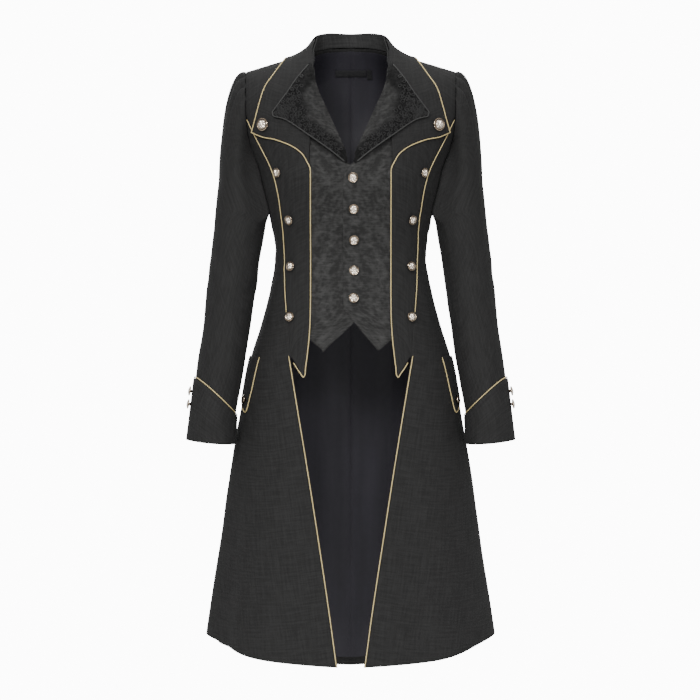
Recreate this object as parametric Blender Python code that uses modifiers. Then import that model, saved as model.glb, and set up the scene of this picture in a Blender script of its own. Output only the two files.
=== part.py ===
# Prince style coat: a long fitted coat with a sewn-in vest front, worn and filled out by nobody.
# The wearer's left is +X, the front faces -Y. The origin is midway between the shoulder neck points.
# Lengths are in millimetres until a mesh is made. A drop is a distance below the neck points.

from math import acos, asin, cos, degrees, exp, radians, sin, sqrt

import bmesh
import bpy
from mathutils import Vector

MM = 0.001

# Driving sizes
CLOTH = 2.0
FINE_CLOTH = 1.8
LINING = 1.0
SEAM_GAP = 0.3
PIPING_RADIUS = 1.3
BUTTON_RADIUS = 8.2
LARGE_BUTTON_RADIUS = 10.8
BUTTON_STEPS = 10
SHANK_RADIUS, SHANK_FOOT, SHANK_HEIGHT = 2.4, 0.3, 3.6
BUTTON_RIM_LOW, BUTTON_RIM_HIGH, BUTTON_TOP = 3.8, 5.0, 7.0
BUTTON_DOME_SHARE, BUTTON_DOME_HIGH = 0.6, 6.3
NECK_HALF_WIDTH = 68.0
NECK_POINT_DROP = 1.0
SHOULDER_SLOPE = 0.295
NECK_RISE_SLOPE = 1.2
SHOULDER_DROP = 34.0
UNDERARM_DROP = 198.0
PRINCESS_DROP = 117.0
SIDE_START_DROP = 122.0
BREAK_DROP = 201.0
VEST_TOP_DROP = 30.0
POCKET_DROP = 523.0
SIDE_HEM_DROP = 998.0
SHOULDER_SEAM_SINK = 0.00015

# Form of the skin that the panels lie on
ROUNDNESS = 0.87
SHOULDER_ROLL = 70.0
CUP_HEIGHT, CUP_X, CUP_DROP, CUP_REACH = 7.0, 88.0, 212.0, 48.0
FLUTE_HEIGHT, FLUTE_START, FLUTE_COUNT = 5.0, 600.0, 9
STEP, FINE_STEP = 0.4, 0.05

# The body's level sections: drop, half width, depth in front of the side seam, depth behind it
BODY = [
    (-60, 215, 40, 55),
    (-13, 215, 57, 60),
    (0, 215, 62, 66),
    (40, 214, 81, 84),
    (80, 208, 97, 94),
    (120, 198, 110, 98),
    (160, 177, 120, 97),
    (198, 160, 126, 94.5),
    (230, 152.3, 126, 92),
    (285, 139.3, 112, 87),
    (347, 129.5, 96, 84),
    (410, 138.7, 100, 96),
    (470, 154.5, 109, 111),
    (533, 173.7, 119, 123),
    (600, 186, 130, 134),
    (700, 203.5, 147, 151),
    (850, 223.5, 170, 176),
    (1000, 245.5, 193, 200),
    (1090, 258, 206, 214),
]

# Hem: angle round the body from the front, drop
HEM = [(0, 1036), (30, 1031), (60, 1014), (90, SIDE_HEM_DROP), (120, 1032), (150, 1070), (180, 1078)]

# Seams and edges seen from the front or the back: drop, distance from the centre
ARMHOLE = [(34, 180), (75, 178.5), (117, 177.5), (145, 174.5), (163, 170.5), (181, 165.5), (198, 160)]
ROLL_LINE = [(1, 68), (8, 67.5), (18, 66.8), (30, 66), (60, 66), (100, 67), (150, 68.3), (201, 69.2)]
FRONT_EDGE = [(201, 69.2), (349, 69.8), (450, 69.7), (490, 71.5), (523, 75)]
TAB_INNER_EDGE = [(523, 75), (540, 77.3), (554, 79.2)]
TAB_OUTER_EDGE = [(523, 101), (540, 90), (554, 81)]
PRINCESS_PIPING_END = 449
PRINCESS_SEAM = [(117, 177.4), (146, 163.5), (214, 130.5), (281, 117), (349, 112), (411, 110.5), (523, 102.5)]
SKIRT_EDGE = [(523, 102.5), (633, 84), (930, 36.8), (1040, 21)]
BACK_SEAM = [(117, 177.4), (146, 160), (200, 126), (280, 98), (349, 86), (450, 94), (560, 105),
             (750, 121), (1000, 141), (1090, 148)]
BACK_NECK = [(0, -13), (38, -10), (55, -5), (64, -1), (68, 1)]
VEST_NECK_EDGE = [(27, 63.8), (63, 58.1), (96, 44.3), (133, 28.2), (173, 10.5), (199, 4.6)]

# Columns and rows of the panels
CENTRE_FRONT_COLUMNS, SIDE_FRONT_COLUMNS, SIDE_BACK_COLUMNS = 4, 6, 4
HEAD_ROWS = (0.0, 0.03, 0.1, 0.24, 0.45, 0.72, 1.0)
ARMHOLE_ROWS = (131, 145, 163, 181, 198)
WAIST_ROWS = (214, 233, 258, 290, 322, 350, 382, 420, 468, 523)
TAB_ROWS = (533, 543, 554)
TAB_PIPING = [(74.8, 533), (76.1, 543), (76.9, 553.5), (80.1, 558), (83.9, 552.8), (90.2, 544), (96.6, 534)]
SKIRT_ROWS = (560, 610, 700, 810, 930)
BACK_SHARES = (0, 0.17, 0.29, 0.35, 0.378, 0.68, 1)
LINING_SHARES = (0, 0.17, 0.35, 0.378, 0.68, 1)
LINING_HEAD_ROWS = (0.04, 0.1, 0.24, 0.45, 0.72, 1.0)
HEM_ROWS = (0.5, 1.0)
HEM_START = 930.0
SKIRT_EDGE_TURN = 8.0

# Wing collar stations: where it leaves the neck, how it rises from there, and its outer edge, as
# neck x, neck drop, rise x, rise y, rise up, edge x, edge drop, edge lift
WING_BACK = [
    (0, -13, 0, 2, 25, 0, 18, 3.0),
    (20, -12.2, -1, 1.5, 25.5, 32, 17.6, 3.0),
    (38, -10, -2, 0.5, 26.5, 60, 17, 2.8),
    (55, -5, -3, -1, 27, 87, 15.5, 2.5),
    (64, -1, -5, -3, 26, 101, 13.8, 2.8),
    (68, 1, -8, -6, 20, 107, 12.5, 3.0),
]
WING_UPPER = [
    (68, 1, -8, -6, 20, 107, 12.5, 3.0),
    (67.5, 8, -5, -3, 12, 118, 31, 3.0),
    (66.8, 18, -3, -1, 5, 130, 49, 2.6),
    (66, 31, -0.4, 0, 0.5, 143, 69, 2.4),
    (66.2, 68, 0, 0, 0, 152, 97, 2.2),
    (67, 100, 0, 0, 0, 158, 122, 3.4),
    (67.6, 125, 0, 0, 0, 163, 142, 4.6),
]
WING_LOWER = [
    (67.6, 125, 0, 0, 0, 163, 142, 4.6),
    (68, 142, 0, 0, 0, 146, 151, 3.4),
    (68.3, 156, 0, 0, 0, 124.6, 157, 2.4),
    (68.7, 172, 0, 0, 0, 98, 169, 1.6),
    (69, 187, 0, 0, 0, 80, 183, 1.0),
    (69.2, 200, 0, 0, 0, 70.4, 199.4, 0.6),
]
WING_STEPS = 2
WING_REST = 1.1
WING_FALL_POWER = 2.3
WING_ACROSS = (0.0, 0.1, 0.25, 0.47, 0.74, 1.0)

STAND_INSET, STAND_BELOW = 3.0, 0.6
NECK_CENTRE_Y = 10.0
STAND_BASE_CLEAR = 1.0
STAND_FRONT_STATIONS, STAND_SHORTER = 4, 1
BREAK_CROSSING = [(69.8, 203, 1.9), (67.9, 208, 1.0)]

# Vest lapel stations, as neck x, neck drop, edge x, edge drop
VEST_LAPEL_UPPER = [
    (63.8, 28, 67.5, 31),
    (61, 46, 88, 56),
    (57, 66, 108, 84),
    (50.5, 84, 129.3, 113.5),
]
VEST_LAPEL_TIP = [(50.5, 84, 129.3, 113.5), (46, 93, 127, 121.4)]
VEST_LAPEL_LOWER = [
    (46, 93, 127, 121.4),
    (38, 111, 105, 129),
    (27, 136, 72, 153),
    (16, 160, 40, 176.5),
    (8, 180, 16, 194),
    (5.2, 197, 7, 200.5),
]
VEST_LAPEL_ACROSS = (0.0, 0.15, 0.4, 0.7, 1.0)
VEST_LAPEL_LOW = -2.4
VEST_LAPEL_HIGH = 4.5
VEST_LAPEL_TOP_START = 4.8
VEST_LAPEL_RISE = 0.02
VEST_LAPEL_LEAD = 1.5
VEST_LAPEL_START_DROP, VEST_LAPEL_SETTLE = 28.0, 52.0

# Vest fronts: drop, edge at the closing, hidden edge under the coat front
VEST_UNDER = CLOTH + 0.8
VEST_HIDDEN_EDGE = 90.0
VEST_NECK_ROWS = (VEST_TOP_DROP, 45, 63, 84, 108) + ARMHOLE_ROWS
VEST_CLOSING_EDGE = [(198, 4.8), (206, -3.5), (214, -9), (231, -12.5), (443, -12.5)]
VEST_CLOSING_ROWS = (206,) + WAIST_ROWS[:8]
VEST_COLUMNS = 4
VEST_LAPPED_DEPTH = 3.0
VEST_HEAD_DEPTH, VEST_HEAD_DROP = 1.2, 95.0
VEST_LAP_START, VEST_LAP_REACH, VEST_LAP_DROP = 14.0, 20.0, 150.0
VEST_POINTS = {
    "left": [(443, -12.5), (461, 2), (479, 17), (497, 32), (512.5, 45.6)],
    "right": [(459, -12.5), (473, 2), (487, 17), (501, 32), (515.5, 46.6)],
}
VEST_OUTER_EDGE = [(443, 90), (461, 90), (479, 87), (497, 67), (512.5, 48)]

# Sleeve sections along the arm: drop, centre x, centre y, half width, half depth
SLEEVE = [
    (215, 194.0, 2, 33.0, 60),
    (250, 190.5, 1, 40.0, 58.5),
    (285, 189.5, -1, 43.9, 57),
    (347, 196.8, -10, 42.6, 54),
    (409, 204.2, -20, 41.5, 52),
    (492, 214.2, -36, 40.0, 50),
    (560, 224.3, -48, 39.4, 48),
    (616, 231.8, -57, 37.2, 46),
    (680, 237.5, -66, 37.6, 46.5),
]
SLEEVE_ROWS = (215, 250, 290, 340, 400, 470, 540, 600, 663)
SLEEVE_HEAD_STEPS = (0.1, 0.26, 0.47, 0.73)
SLEEVE_HEAD_PLEATS = (1.5, -2.2, 2.2, -1.8, 1.2)
SLEEVE_HEAD_STANDS, SLEEVE_HEAD_PUFF, SLEEVE_HEAD_DEPTH = 6.0, 25.0, 6.0
SLEEVE_HEAD_RISE, SLEEVE_HEAD_SINK, SLEEVE_HEAD_LEAN = 8.0, 10.0, 2.0
SLEEVE_HEAD_REACH = 0.45
SLEEVE_CLEAR = 0.4

# Cuffs
CUFF_CLOTH = 2.4
CUFF_TOP_DROP = 594.0
CUFF_TOP_SWING = 27.0
CUFF_BOTTOM_DROP = 667.0
CUFF_ROWS = (0.0, 0.5, 1.0)
CUFF_STAND, CUFF_FLARE = 1.0, 2.2
CUFF_PIPING_RISE = 2.1

# Pocket flaps: angle round the body, top and bottom drop
FLAP = [(62, 523, 525), (63.5, 523, 560), (65.5, 523, 590), (68, 523, 616), (74, 523, 611),
        (82, 523, 599), (90, 523, 590), (99, 523, 583), (107, 523, 577)]
FLAP_LIFT = 0.9
FLAP_ROWS = (0.0, 0.35, 0.7, 1.0)

# Back lining and its bare labels
LINING_HEM_RISE = 15.0
LINING_CLEAR = 0.6
LABEL_WIDTH, LABEL_HEIGHT, LABEL_DROP = 54.0, 10.5, 21.7
SIZE_TAB_WIDTH, SIZE_TAB_HEIGHT, SIZE_TAB_DROP, SIZE_TAB_X = 9.0, 17.0, 20.0, 28.5
LABEL_THICKNESS, LABEL_CLEAR = 0.7, 1.4

# Buttons: distance from the centre, drop, and how far the hollow waist's facets stand out under them
PRINCESS_BUTTONS = [(122, 213.6, 0), (102.5, 292.6, 0.1), (99.8, 371.2, 0.8), (101.3, 457.4, 0.4)]
VEST_BUTTONS = [(4, 224, 0), (5, 276, 0), (5.5, 327.5, 0.5), (5.5, 378.6, 0.6), (5, 425, 0.3)]
LAPEL_BUTTON_CELL = (21, 4)
LAPEL_BUTTON_SHARE = (0.3, 0.38)
CUFF_BUTTONS = (590, 611)
CUFF_BUTTON_TURN = radians(-15)
FLAP_BUTTON = (70.5, 598)

# Colours of the cloths and the metal: red, green, blue, roughness, metallic
MATERIALS = {
    "twill": (0.030, 0.031, 0.030, 0.85, 0.0),
    "jacquard": (0.050, 0.052, 0.050, 0.6, 0.0),
    "lining": (0.035, 0.033, 0.040, 0.4, 0.0),
    "label": (0.015, 0.015, 0.016, 0.5, 0.0),
    "piping": (0.50, 0.39, 0.15, 0.5, 0.0),
    "metal": (0.62, 0.47, 0.33, 0.3, 1.0),
}

SIDES = (("left", 1), ("right", -1))


# Smooth curves through short tables

def spline(knots, values, at):
    """Cubic curve through the knots, each slope taken from its neighbours."""
    last = len(knots) - 1
    at = min(max(at, knots[0]), knots[last])
    i = 0
    while i < last - 1 and at > knots[i + 1]:
        i += 1

    def slope(k):
        a, b = max(k - 1, 0), min(k + 1, last)
        return (values[b] - values[a]) / (knots[b] - knots[a])

    span = knots[i + 1] - knots[i]
    t = (at - knots[i]) / span
    rise = values[i + 1] - values[i]
    m0, m1 = slope(i) * span, slope(i + 1) * span
    return values[i] + t * m0 + t * t * (3 * rise - 2 * m0 - m1) + t * t * t * (m0 + m1 - 2 * rise)


def follow(table, at, column=1):
    """Value of a table's column at a value of its first column."""
    return spline([row[0] for row in table], [row[column] for row in table], at)


def refine(stations, steps):
    """Stations with smooth ones between them."""
    knots = list(range(len(stations)))
    places = [i / steps for i in range((len(stations) - 1) * steps + 1)]
    return [tuple(spline(knots, column, t) for column in zip(*stations)) for t in places]


def mix(a, b, t):
    return a + (b - a) * t


def ease(t):
    t = min(max(t, 0.0), 1.0)
    return t * t * (3 - 2 * t)


# The skin: the outer face of the coat's body

def ridge_drop(x):
    """Drop of the shoulder line, which climbs up the neck inside the neck points."""
    beyond = abs(x) - NECK_HALF_WIDTH
    return NECK_POINT_DROP + beyond * (SHOULDER_SLOPE if beyond > 0 else NECK_RISE_SLOPE)


def skin_point(angle, drop):
    """Point at an angle from the front round to the back, in degrees, and a drop."""
    half_width, front, back = (follow(BODY, drop, i) for i in (1, 2, 3))
    turn = radians(angle)
    across, ahead = sin(turn), cos(turn)
    x = half_width * abs(across) ** ROUNDNESS * (1 if across >= 0 else -1)
    reach = abs(ahead) ** ROUNDNESS
    roll = min(max((drop - ridge_drop(x)) / SHOULDER_ROLL, 0.0), 1.0)
    cap = sqrt(1 - (1 - roll) ** 2)
    if ahead > 0:
        cup = exp(-((abs(x) - CUP_X) / CUP_REACH) ** 2 - ((drop - CUP_DROP) / CUP_REACH) ** 2)
        y = -(front + CUP_HEIGHT * cup) * reach * cap
    else:
        y = back * reach * cap
    flow = max(drop - FLUTE_START, 0.0) / (SIDE_HEM_DROP - FLUTE_START)
    swell = 1 + FLUTE_HEIGHT / half_width * flow * cos(FLUTE_COUNT * turn)
    return Vector((x * swell, y * swell, -drop))


def shoulder_field(x, y, drop):
    """Field that is level on the rounded shoulder and grows outward from it."""
    front, back = follow(BODY, drop, 2), follow(BODY, drop, 3)
    share = (abs(x) / follow(BODY, drop)) ** (2 / ROUNDNESS)
    depth = (front if y < 0 else back) * max(1 - share, 0.001) ** (ROUNDNESS / 2)
    return (y / depth) ** 2 + (1 - (drop - ridge_drop(x)) / SHOULDER_ROLL) ** 2


def skin_normal(angle, drop):
    x, y, _ = skin_point(angle, drop)
    if drop - ridge_drop(x) < SHOULDER_ROLL / 2:
        step = FINE_STEP
        return Vector((
            shoulder_field(x + step, y, drop) - shoulder_field(x - step, y, drop),
            shoulder_field(x, y + step, drop) - shoulder_field(x, y - step, drop),
            shoulder_field(x, y, drop - step) - shoulder_field(x, y, drop + step),
        )).normalized()
    around = skin_point(angle + STEP, drop) - skin_point(angle - STEP, drop)
    down = skin_point(angle, drop + STEP) - skin_point(angle, drop - STEP)
    return down.cross(around).normalized()


def skin(angle, drop, lift=0.0):
    return skin_point(angle, drop) + skin_normal(angle, drop) * lift


def front_angle(x, drop):
    """Angle of the skin at a distance from the centre, on the front."""
    share = min(abs(x) / follow(BODY, drop), 1.0)
    angle = degrees(asin(share ** (1 / ROUNDNESS)))
    return angle if x >= 0 else -angle


def back_angle(x, drop):
    return 180 - front_angle(x, drop)


def front_skin(x, drop, lift=0.0):
    return skin(front_angle(x, drop), drop, lift)


def back_skin(x, drop, lift=0.0):
    return skin(back_angle(x, drop), drop, lift)


WING_PARTS = ((WING_BACK, back_angle), (WING_UPPER, front_angle), (WING_LOWER, front_angle))


# Meshes

def material(name):
    found = bpy.data.materials.get(name)
    if found:
        return found
    red, green, blue, roughness, metallic = MATERIALS[name]
    made = bpy.data.materials.new(name)
    made.use_nodes = True
    shader = made.node_tree.nodes["Principled BSDF"]
    shader.inputs["Base Color"].default_value = (red, green, blue, 1)
    shader.inputs["Roughness"].default_value = roughness
    shader.inputs["Metallic"].default_value = metallic
    made.diffuse_color = (red, green, blue, 1)
    return made


def add_object(name, data, material_name):
    made = bpy.data.objects.new(name, data)
    data.materials.clear()
    data.materials.append(material(material_name))
    bpy.data.collections["prince_style_coat"].objects.link(made)
    return made


def wall(name, outer, inner, material_name, side=1, ring=False):
    """A wall of cloth lofted between two grids of points, its outer and its inner face."""
    shell = bmesh.new()
    grids = []
    for grid in (outer, inner):
        grids.append([[shell.verts.new((side * p.x * MM, p.y * MM, p.z * MM)) for p in row] for row in grid])
    rows, columns = len(outer), len(outer[0])
    spans = columns if ring else columns - 1
    for grid in grids:
        for r in range(rows - 1):
            for c in range(spans):
                d = (c + 1) % columns
                shell.faces.new((grid[r][c], grid[r][d], grid[r + 1][d], grid[r + 1][c]))
    top, bottom = grids
    for r in (0, rows - 1):
        for c in range(spans):
            d = (c + 1) % columns
            shell.faces.new((top[r][c], top[r][d], bottom[r][d], bottom[r][c]))
    if not ring:
        for c in (0, columns - 1):
            for r in range(rows - 1):
                shell.faces.new((top[r][c], top[r + 1][c], bottom[r + 1][c], bottom[r][c]))
    bmesh.ops.recalc_face_normals(shell, faces=shell.faces)
    mesh = bpy.data.meshes.new(name)
    shell.to_mesh(mesh)
    shell.free()
    mesh.shade_smooth()
    mesh.set_sharp_from_angle(angle=radians(40))
    return add_object(name, mesh, material_name)


def skin_wall(name, places, lift, thickness, material_name, side=1):
    """A wall on the skin, from rows of angle and drop."""
    outer = [[skin(angle, drop, lift) for angle, drop in row] for row in places]
    inner = [[skin(angle, drop, lift - thickness) for angle, drop in row] for row in places]
    return wall(name, outer, inner, material_name, side)


def grid_normals(grid, ring=False):
    """Normals of a grid of points, from the points next to each."""
    rows, columns = len(grid), len(grid[0])
    normals = []
    for r in range(rows):
        line = []
        for c in range(columns):
            left, right = (c - 1, c + 1) if ring else (max(c - 1, 0), min(c + 1, columns - 1))
            around = grid[r][right % columns] - grid[r][left % columns]
            down = grid[min(r + 1, rows - 1)][c] - grid[max(r - 1, 0)][c]
            line.append(down.cross(around).normalized())
        normals.append(line)
    return normals


def shifted(grid, normals, distance):
    return [[p + n * distance for p, n in zip(row, line)] for row, line in zip(grid, normals)]


def piping(name, path, side=1, closed=False):
    """A covered cord along a path."""
    curve = bpy.data.curves.new(name, "CURVE")
    curve.dimensions = "3D"
    curve.bevel_depth = PIPING_RADIUS * MM
    curve.bevel_resolution = 1
    curve.use_fill_caps = True
    line = curve.splines.new("POLY")
    line.points.add(len(path) - 1)
    for point, p in zip(line.points, path):
        point.co = (side * p.x * MM, p.y * MM, p.z * MM, 1)
    line.use_cyclic_u = closed
    return add_object(name, curve, "piping")


def beside(path, normals, lift, outward):
    """A path moved off its skin by a lift, and sideways away from the cloth's edge, mitred at corners."""
    moved = []
    last = len(path) - 1
    for i, (p, n) in enumerate(zip(path, normals)):
        ahead = (path[min(i + 1, last)] - path[min(i, last - 1)]).normalized()
        behind = (path[max(i, 1)] - path[max(i - 1, 0)]).normalized()
        along = (ahead + behind).normalized()
        mitre = 1 / max(along.dot(ahead), 0.4)
        moved.append(p + n * lift + along.cross(n).normalized() * outward * mitre)
    return moved


# Buttons

def button_profile(radius):
    """Half outline of a domed shank button: distance from the axis, height."""
    shank = [(0.0, SHANK_FOOT), (SHANK_RADIUS, SHANK_FOOT), (SHANK_RADIUS, SHANK_HEIGHT)]
    rim = [(radius, BUTTON_RIM_LOW), (radius - 0.3, BUTTON_RIM_HIGH)]
    return shank + rim + [(radius * BUTTON_DOME_SHARE, BUTTON_DOME_HIGH), (0.0, BUTTON_TOP)]


def button(name, place, normal, radius=BUTTON_RADIUS, side=1):
    outline = bpy.data.meshes.new(name)
    points = [(r * MM, 0, h * MM) for r, h in reversed(button_profile(radius))]
    outline.from_pydata(points, [(i, i + 1) for i in range(len(points) - 1)], [])
    made = add_object(name, outline, "metal")
    screw = made.modifiers.new("turn", "SCREW")
    screw.steps = BUTTON_STEPS
    screw.render_steps = BUTTON_STEPS
    screw.use_merge_vertices = True
    screw.merge_threshold = 0.00001
    screw.use_smooth_shade = True
    facing = Vector((side * normal.x, normal.y, normal.z))
    made.location = Vector((side * place.x, place.y, place.z)) * MM
    made.rotation_mode = "QUATERNION"
    made.rotation_quaternion = facing.to_track_quat("Z", "Y")
    return made


# Body panels

def armhole_drops():
    head = [mix(SHOULDER_DROP, PRINCESS_DROP, w) for w in HEAD_ROWS]
    return head + list(ARMHOLE_ROWS)


def seam_distance(seam, drop):
    """Distance of a seam from the centre, straight between the two rows where it leaves the armhole."""
    first, second = PRINCESS_DROP, ARMHOLE_ROWS[0]
    if drop < second:
        return mix(follow(seam, first), follow(seam, second), (drop - first) / (second - first))
    return follow(seam, drop)


def side_point_x(seam):
    """Distance from the centre at which a side panel's narrow top end starts, clear of its neighbour."""
    return seam_distance(seam, SIDE_START_DROP) + 2 * SEAM_GAP


def across(first, last, columns):
    return [mix(first, last, i / columns) for i in range(columns + 1)]


def head_row(w, near_edge, angle_of, columns, top_near):
    """A row between the shoulder seam and the drop where the side panels start."""
    near_drop = mix(top_near, PRINCESS_DROP, w)
    far_drop = mix(SHOULDER_DROP, PRINCESS_DROP, w)
    near_x = near_edge(near_drop)
    far_x = follow(ARMHOLE, far_drop)
    row = []
    for share in across(0, 1, columns):
        x = mix(near_x, far_x, share)
        top = mix(top_near, SHOULDER_DROP, share)
        if abs(x) >= NECK_HALF_WIDTH:
            top = ridge_drop(x)
        drop = mix(top + SHOULDER_SEAM_SINK, PRINCESS_DROP, w)
        row.append((angle_of(x, drop), drop))
    return row


def level_row(drop, first, last, columns):
    return [(angle, drop) for angle in across(first, last, columns)]


def seam_gap_angle(drop):
    """Half of a seam's gap as an angle on the skin."""
    return degrees(SEAM_GAP / 2 / follow(BODY, drop))


def trim(rows, first=True, last=True):
    """Rows with half of the seam gap taken off their ends."""
    trimmed = []
    for row in rows:
        ends = list(row)
        turn = 1 if row[-1][0] > row[0][0] else -1
        if first:
            ends[0] = (row[0][0] + turn * seam_gap_angle(row[0][1]), row[0][1])
        if last:
            ends[-1] = (row[-1][0] - turn * seam_gap_angle(row[-1][1]), row[-1][1])
        trimmed.append(ends)
    return trimmed


def centre_front_rows():
    columns = CENTRE_FRONT_COLUMNS
    rows = [head_row(w, lambda d: follow(ROLL_LINE, d), front_angle, columns, NECK_POINT_DROP)
            for w in HEAD_ROWS]
    for drop in ARMHOLE_ROWS + WAIST_ROWS:
        inner = ROLL_LINE if drop < BREAK_DROP else FRONT_EDGE
        rows.append(level_row(drop, front_angle(follow(inner, drop), drop),
                              front_angle(follow(PRINCESS_SEAM, drop), drop), columns))
    rows = trim(rows, first=False)
    for drop in TAB_ROWS:
        rows.append(level_row(drop, front_angle(follow(TAB_INNER_EDGE, drop), drop),
                              front_angle(follow(TAB_OUTER_EDGE, drop), drop), columns))
    return rows


def side_front_rows():
    columns = SIDE_FRONT_COLUMNS
    rows = []
    for drop in (SIDE_START_DROP,) + ARMHOLE_ROWS + WAIST_ROWS + SKIRT_ROWS:
        inner = PRINCESS_SEAM if drop <= POCKET_DROP else SKIRT_EDGE
        x = side_point_x(inner) if drop == SIDE_START_DROP else follow(inner, drop)
        outer = front_angle(seam_distance(ARMHOLE, drop), drop) if drop <= UNDERARM_DROP else 90
        rows.append(level_row(drop, front_angle(x, drop), outer, columns))
    edge = front_angle(follow(SKIRT_EDGE, HEM_START), HEM_START)
    rows += hem_grid(edge, 90, across(0, 1, columns), SKIRT_EDGE)
    return trim(rows)


def hem_grid(first, last, shares, edge_table=None, hem_rise=0.0):
    """The rows between the last level one and the hem; an edge table moves the first column."""
    rows = []
    for w in HEM_ROWS:
        row = []
        for share in shares:
            angle = mix(first, last, share)
            drop = mix(HEM_START, follow(HEM, angle) - hem_rise, w)
            if edge_table:
                angle = mix(front_angle(follow(edge_table, drop), drop), last, share)
            row.append((angle, drop))
        rows.append(row)
    return rows


def side_back_rows():
    columns = SIDE_BACK_COLUMNS
    rows = []
    for drop in (SIDE_START_DROP,) + ARMHOLE_ROWS + WAIST_ROWS + SKIRT_ROWS:
        x = side_point_x(BACK_SEAM) if drop == SIDE_START_DROP else follow(BACK_SEAM, drop)
        outer = back_angle(seam_distance(ARMHOLE, drop), drop) if drop <= UNDERARM_DROP else 90
        rows.append(level_row(drop, back_angle(x, drop), outer, columns))
    seam = back_angle(follow(BACK_SEAM, HEM_START), HEM_START)
    rows += hem_grid(seam, 90, across(0, 1, columns))
    return trim(rows)


def back_rows(head_rows=HEAD_ROWS, shares=BACK_SHARES, hem_rise=0.0):
    rows = [back_head_row(w, shares) for w in head_rows]
    for drop in ARMHOLE_ROWS + WAIST_ROWS + SKIRT_ROWS:
        seam = back_angle(follow(BACK_SEAM, drop), drop)
        rows.append([(mix(180, seam, share), drop) for share in shares])
    rows += hem_grid(180, seam, shares, hem_rise=hem_rise)
    return trim(rows)


def back_head_row(w, shares):
    """A row of the back, from the neck and the shoulder seam down to the side panels' start."""
    row = []
    for share in shares:
        top_x = follow(ARMHOLE, SHOULDER_DROP) * share
        top = follow(BACK_NECK, top_x) if top_x < NECK_HALF_WIDTH else ridge_drop(top_x)
        bottom_x = follow(ARMHOLE, PRINCESS_DROP) * share
        x = mix(top_x, bottom_x, w)
        if share == 1:
            x = follow(ARMHOLE, mix(SHOULDER_DROP, PRINCESS_DROP, w))
        drop = mix(top + SHOULDER_SEAM_SINK, PRINCESS_DROP, w)
        row.append((back_angle(x, drop), drop))
    return row


def make_panels():
    for name, side in SIDES:
        skin_wall(f"centre_front_{name}", centre_front_rows(), 0, CLOTH, "twill", side)
        skin_wall(f"side_front_{name}", side_front_rows(), 0, CLOTH, "twill", side)
        skin_wall(f"side_back_{name}", side_back_rows(), 0, CLOTH, "twill", side)
        skin_wall(f"back_{name}", back_rows(), 0, CLOTH, "twill", side)


# Lining and labels

def make_lining():
    lift = -CLOTH - LINING_CLEAR
    rows = back_rows(LINING_HEAD_ROWS, LINING_SHARES, LINING_HEM_RISE)
    for name, side in SIDES:
        skin_wall(f"lining_{name}", rows, lift, LINING, "lining", side)
    label_lift = lift - LINING - LABEL_CLEAR
    for name, first, last, top, height, columns in (
        ("neck_label", -LABEL_WIDTH / 2, LABEL_WIDTH / 2, LABEL_DROP, LABEL_HEIGHT, 6),
        ("size_tab", SIZE_TAB_X, SIZE_TAB_X + SIZE_TAB_WIDTH, SIZE_TAB_DROP, SIZE_TAB_HEIGHT, 1),
    ):
        places = [[(back_angle(x, drop), drop) for x in across(first, last, columns)]
                  for drop in (top, top + height)]
        skin_wall(name, places, label_lift, LABEL_THICKNESS, "label")


# Wing collar and its stand

def wing_row(station, angle_of):
    """Outer face of the wing collar at one station, from the roll to the outer edge."""
    neck_x, neck_drop, rise_x, rise_y, rise_up, edge_x, edge_drop, edge_lift = station
    row = []
    for share in WING_ACROSS:
        x = mix(neck_x, edge_x, share)
        drop = mix(neck_drop, edge_drop, share)
        lift = mix(WING_REST, edge_lift, share) + FINE_CLOTH
        rise = Vector((rise_x, rise_y, rise_up)) * (1 - share) ** WING_FALL_POWER
        row.append(skin(angle_of(x, drop), drop, lift) + rise)
    return row


def wing_stations(parts):
    """Fine stations of the named parts of the collar, each with the side that its angles are on."""
    stations = []
    for table, angle_of in parts:
        fine = refine(table, WING_STEPS)
        stations += [(station, angle_of) for station in fine[1 if stations else 0:]]
    return stations


def wing_grid(first_x=0.0):
    rows = [wing_row(*station) for station in wing_stations(WING_PARTS)]
    for point in rows[0]:
        point.x += first_x
    return rows


def wing_normals(grid):
    """Normals of the collar, level with the centre plane where its halves meet at the back."""
    normals = grid_normals(grid)
    normals[0] = [Vector((0, n.y, n.z)).normalized() for n in normals[0]]
    return normals


def make_wing_collar():
    for name, side in SIDES:
        grid = wing_grid(SEAM_GAP / 2)
        inner = shifted(grid, wing_normals(grid), -FINE_CLOTH)
        wall(f"wing_collar_{name}", grid, inner, "twill", side)


def stand_half():
    """Face of the stand that meets the collar's fall, from the centre back to its front end."""
    front = WING_UPPER[:STAND_FRONT_STATIONS]
    stations = wing_stations(WING_PARTS[:1] + ((front, front_angle),))[:-STAND_SHORTER]
    rows = []
    for (station, angle_of), row in zip(stations, wing_grid()):
        neck_x, neck_drop, rise_x, rise_y, rise_up = station[:5]
        rise = Vector((rise_x, rise_y, rise_up))
        inward = Vector((-row[0].x, NECK_CENTRE_Y - row[0].y, 0)).normalized()
        base = skin(angle_of(neck_x, neck_drop), neck_drop) + rise.normalized() * STAND_BASE_CLEAR
        top = row[0] + inward * STAND_INSET - rise.normalized() * STAND_BELOW
        rows.append([base.lerp(top, share) for share in (0.0, 0.5, 1.0)])
    return rows


def make_stand():
    half = stand_half()
    mirrored = [[Vector((-p.x, p.y, p.z)) for p in row] for row in reversed(half[1:])]
    grid = mirrored + half
    inner = shifted(grid, grid_normals(grid), FINE_CLOTH)
    wall("collar_stand", grid, inner, "twill")


# Vest fronts and their lapels

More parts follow.
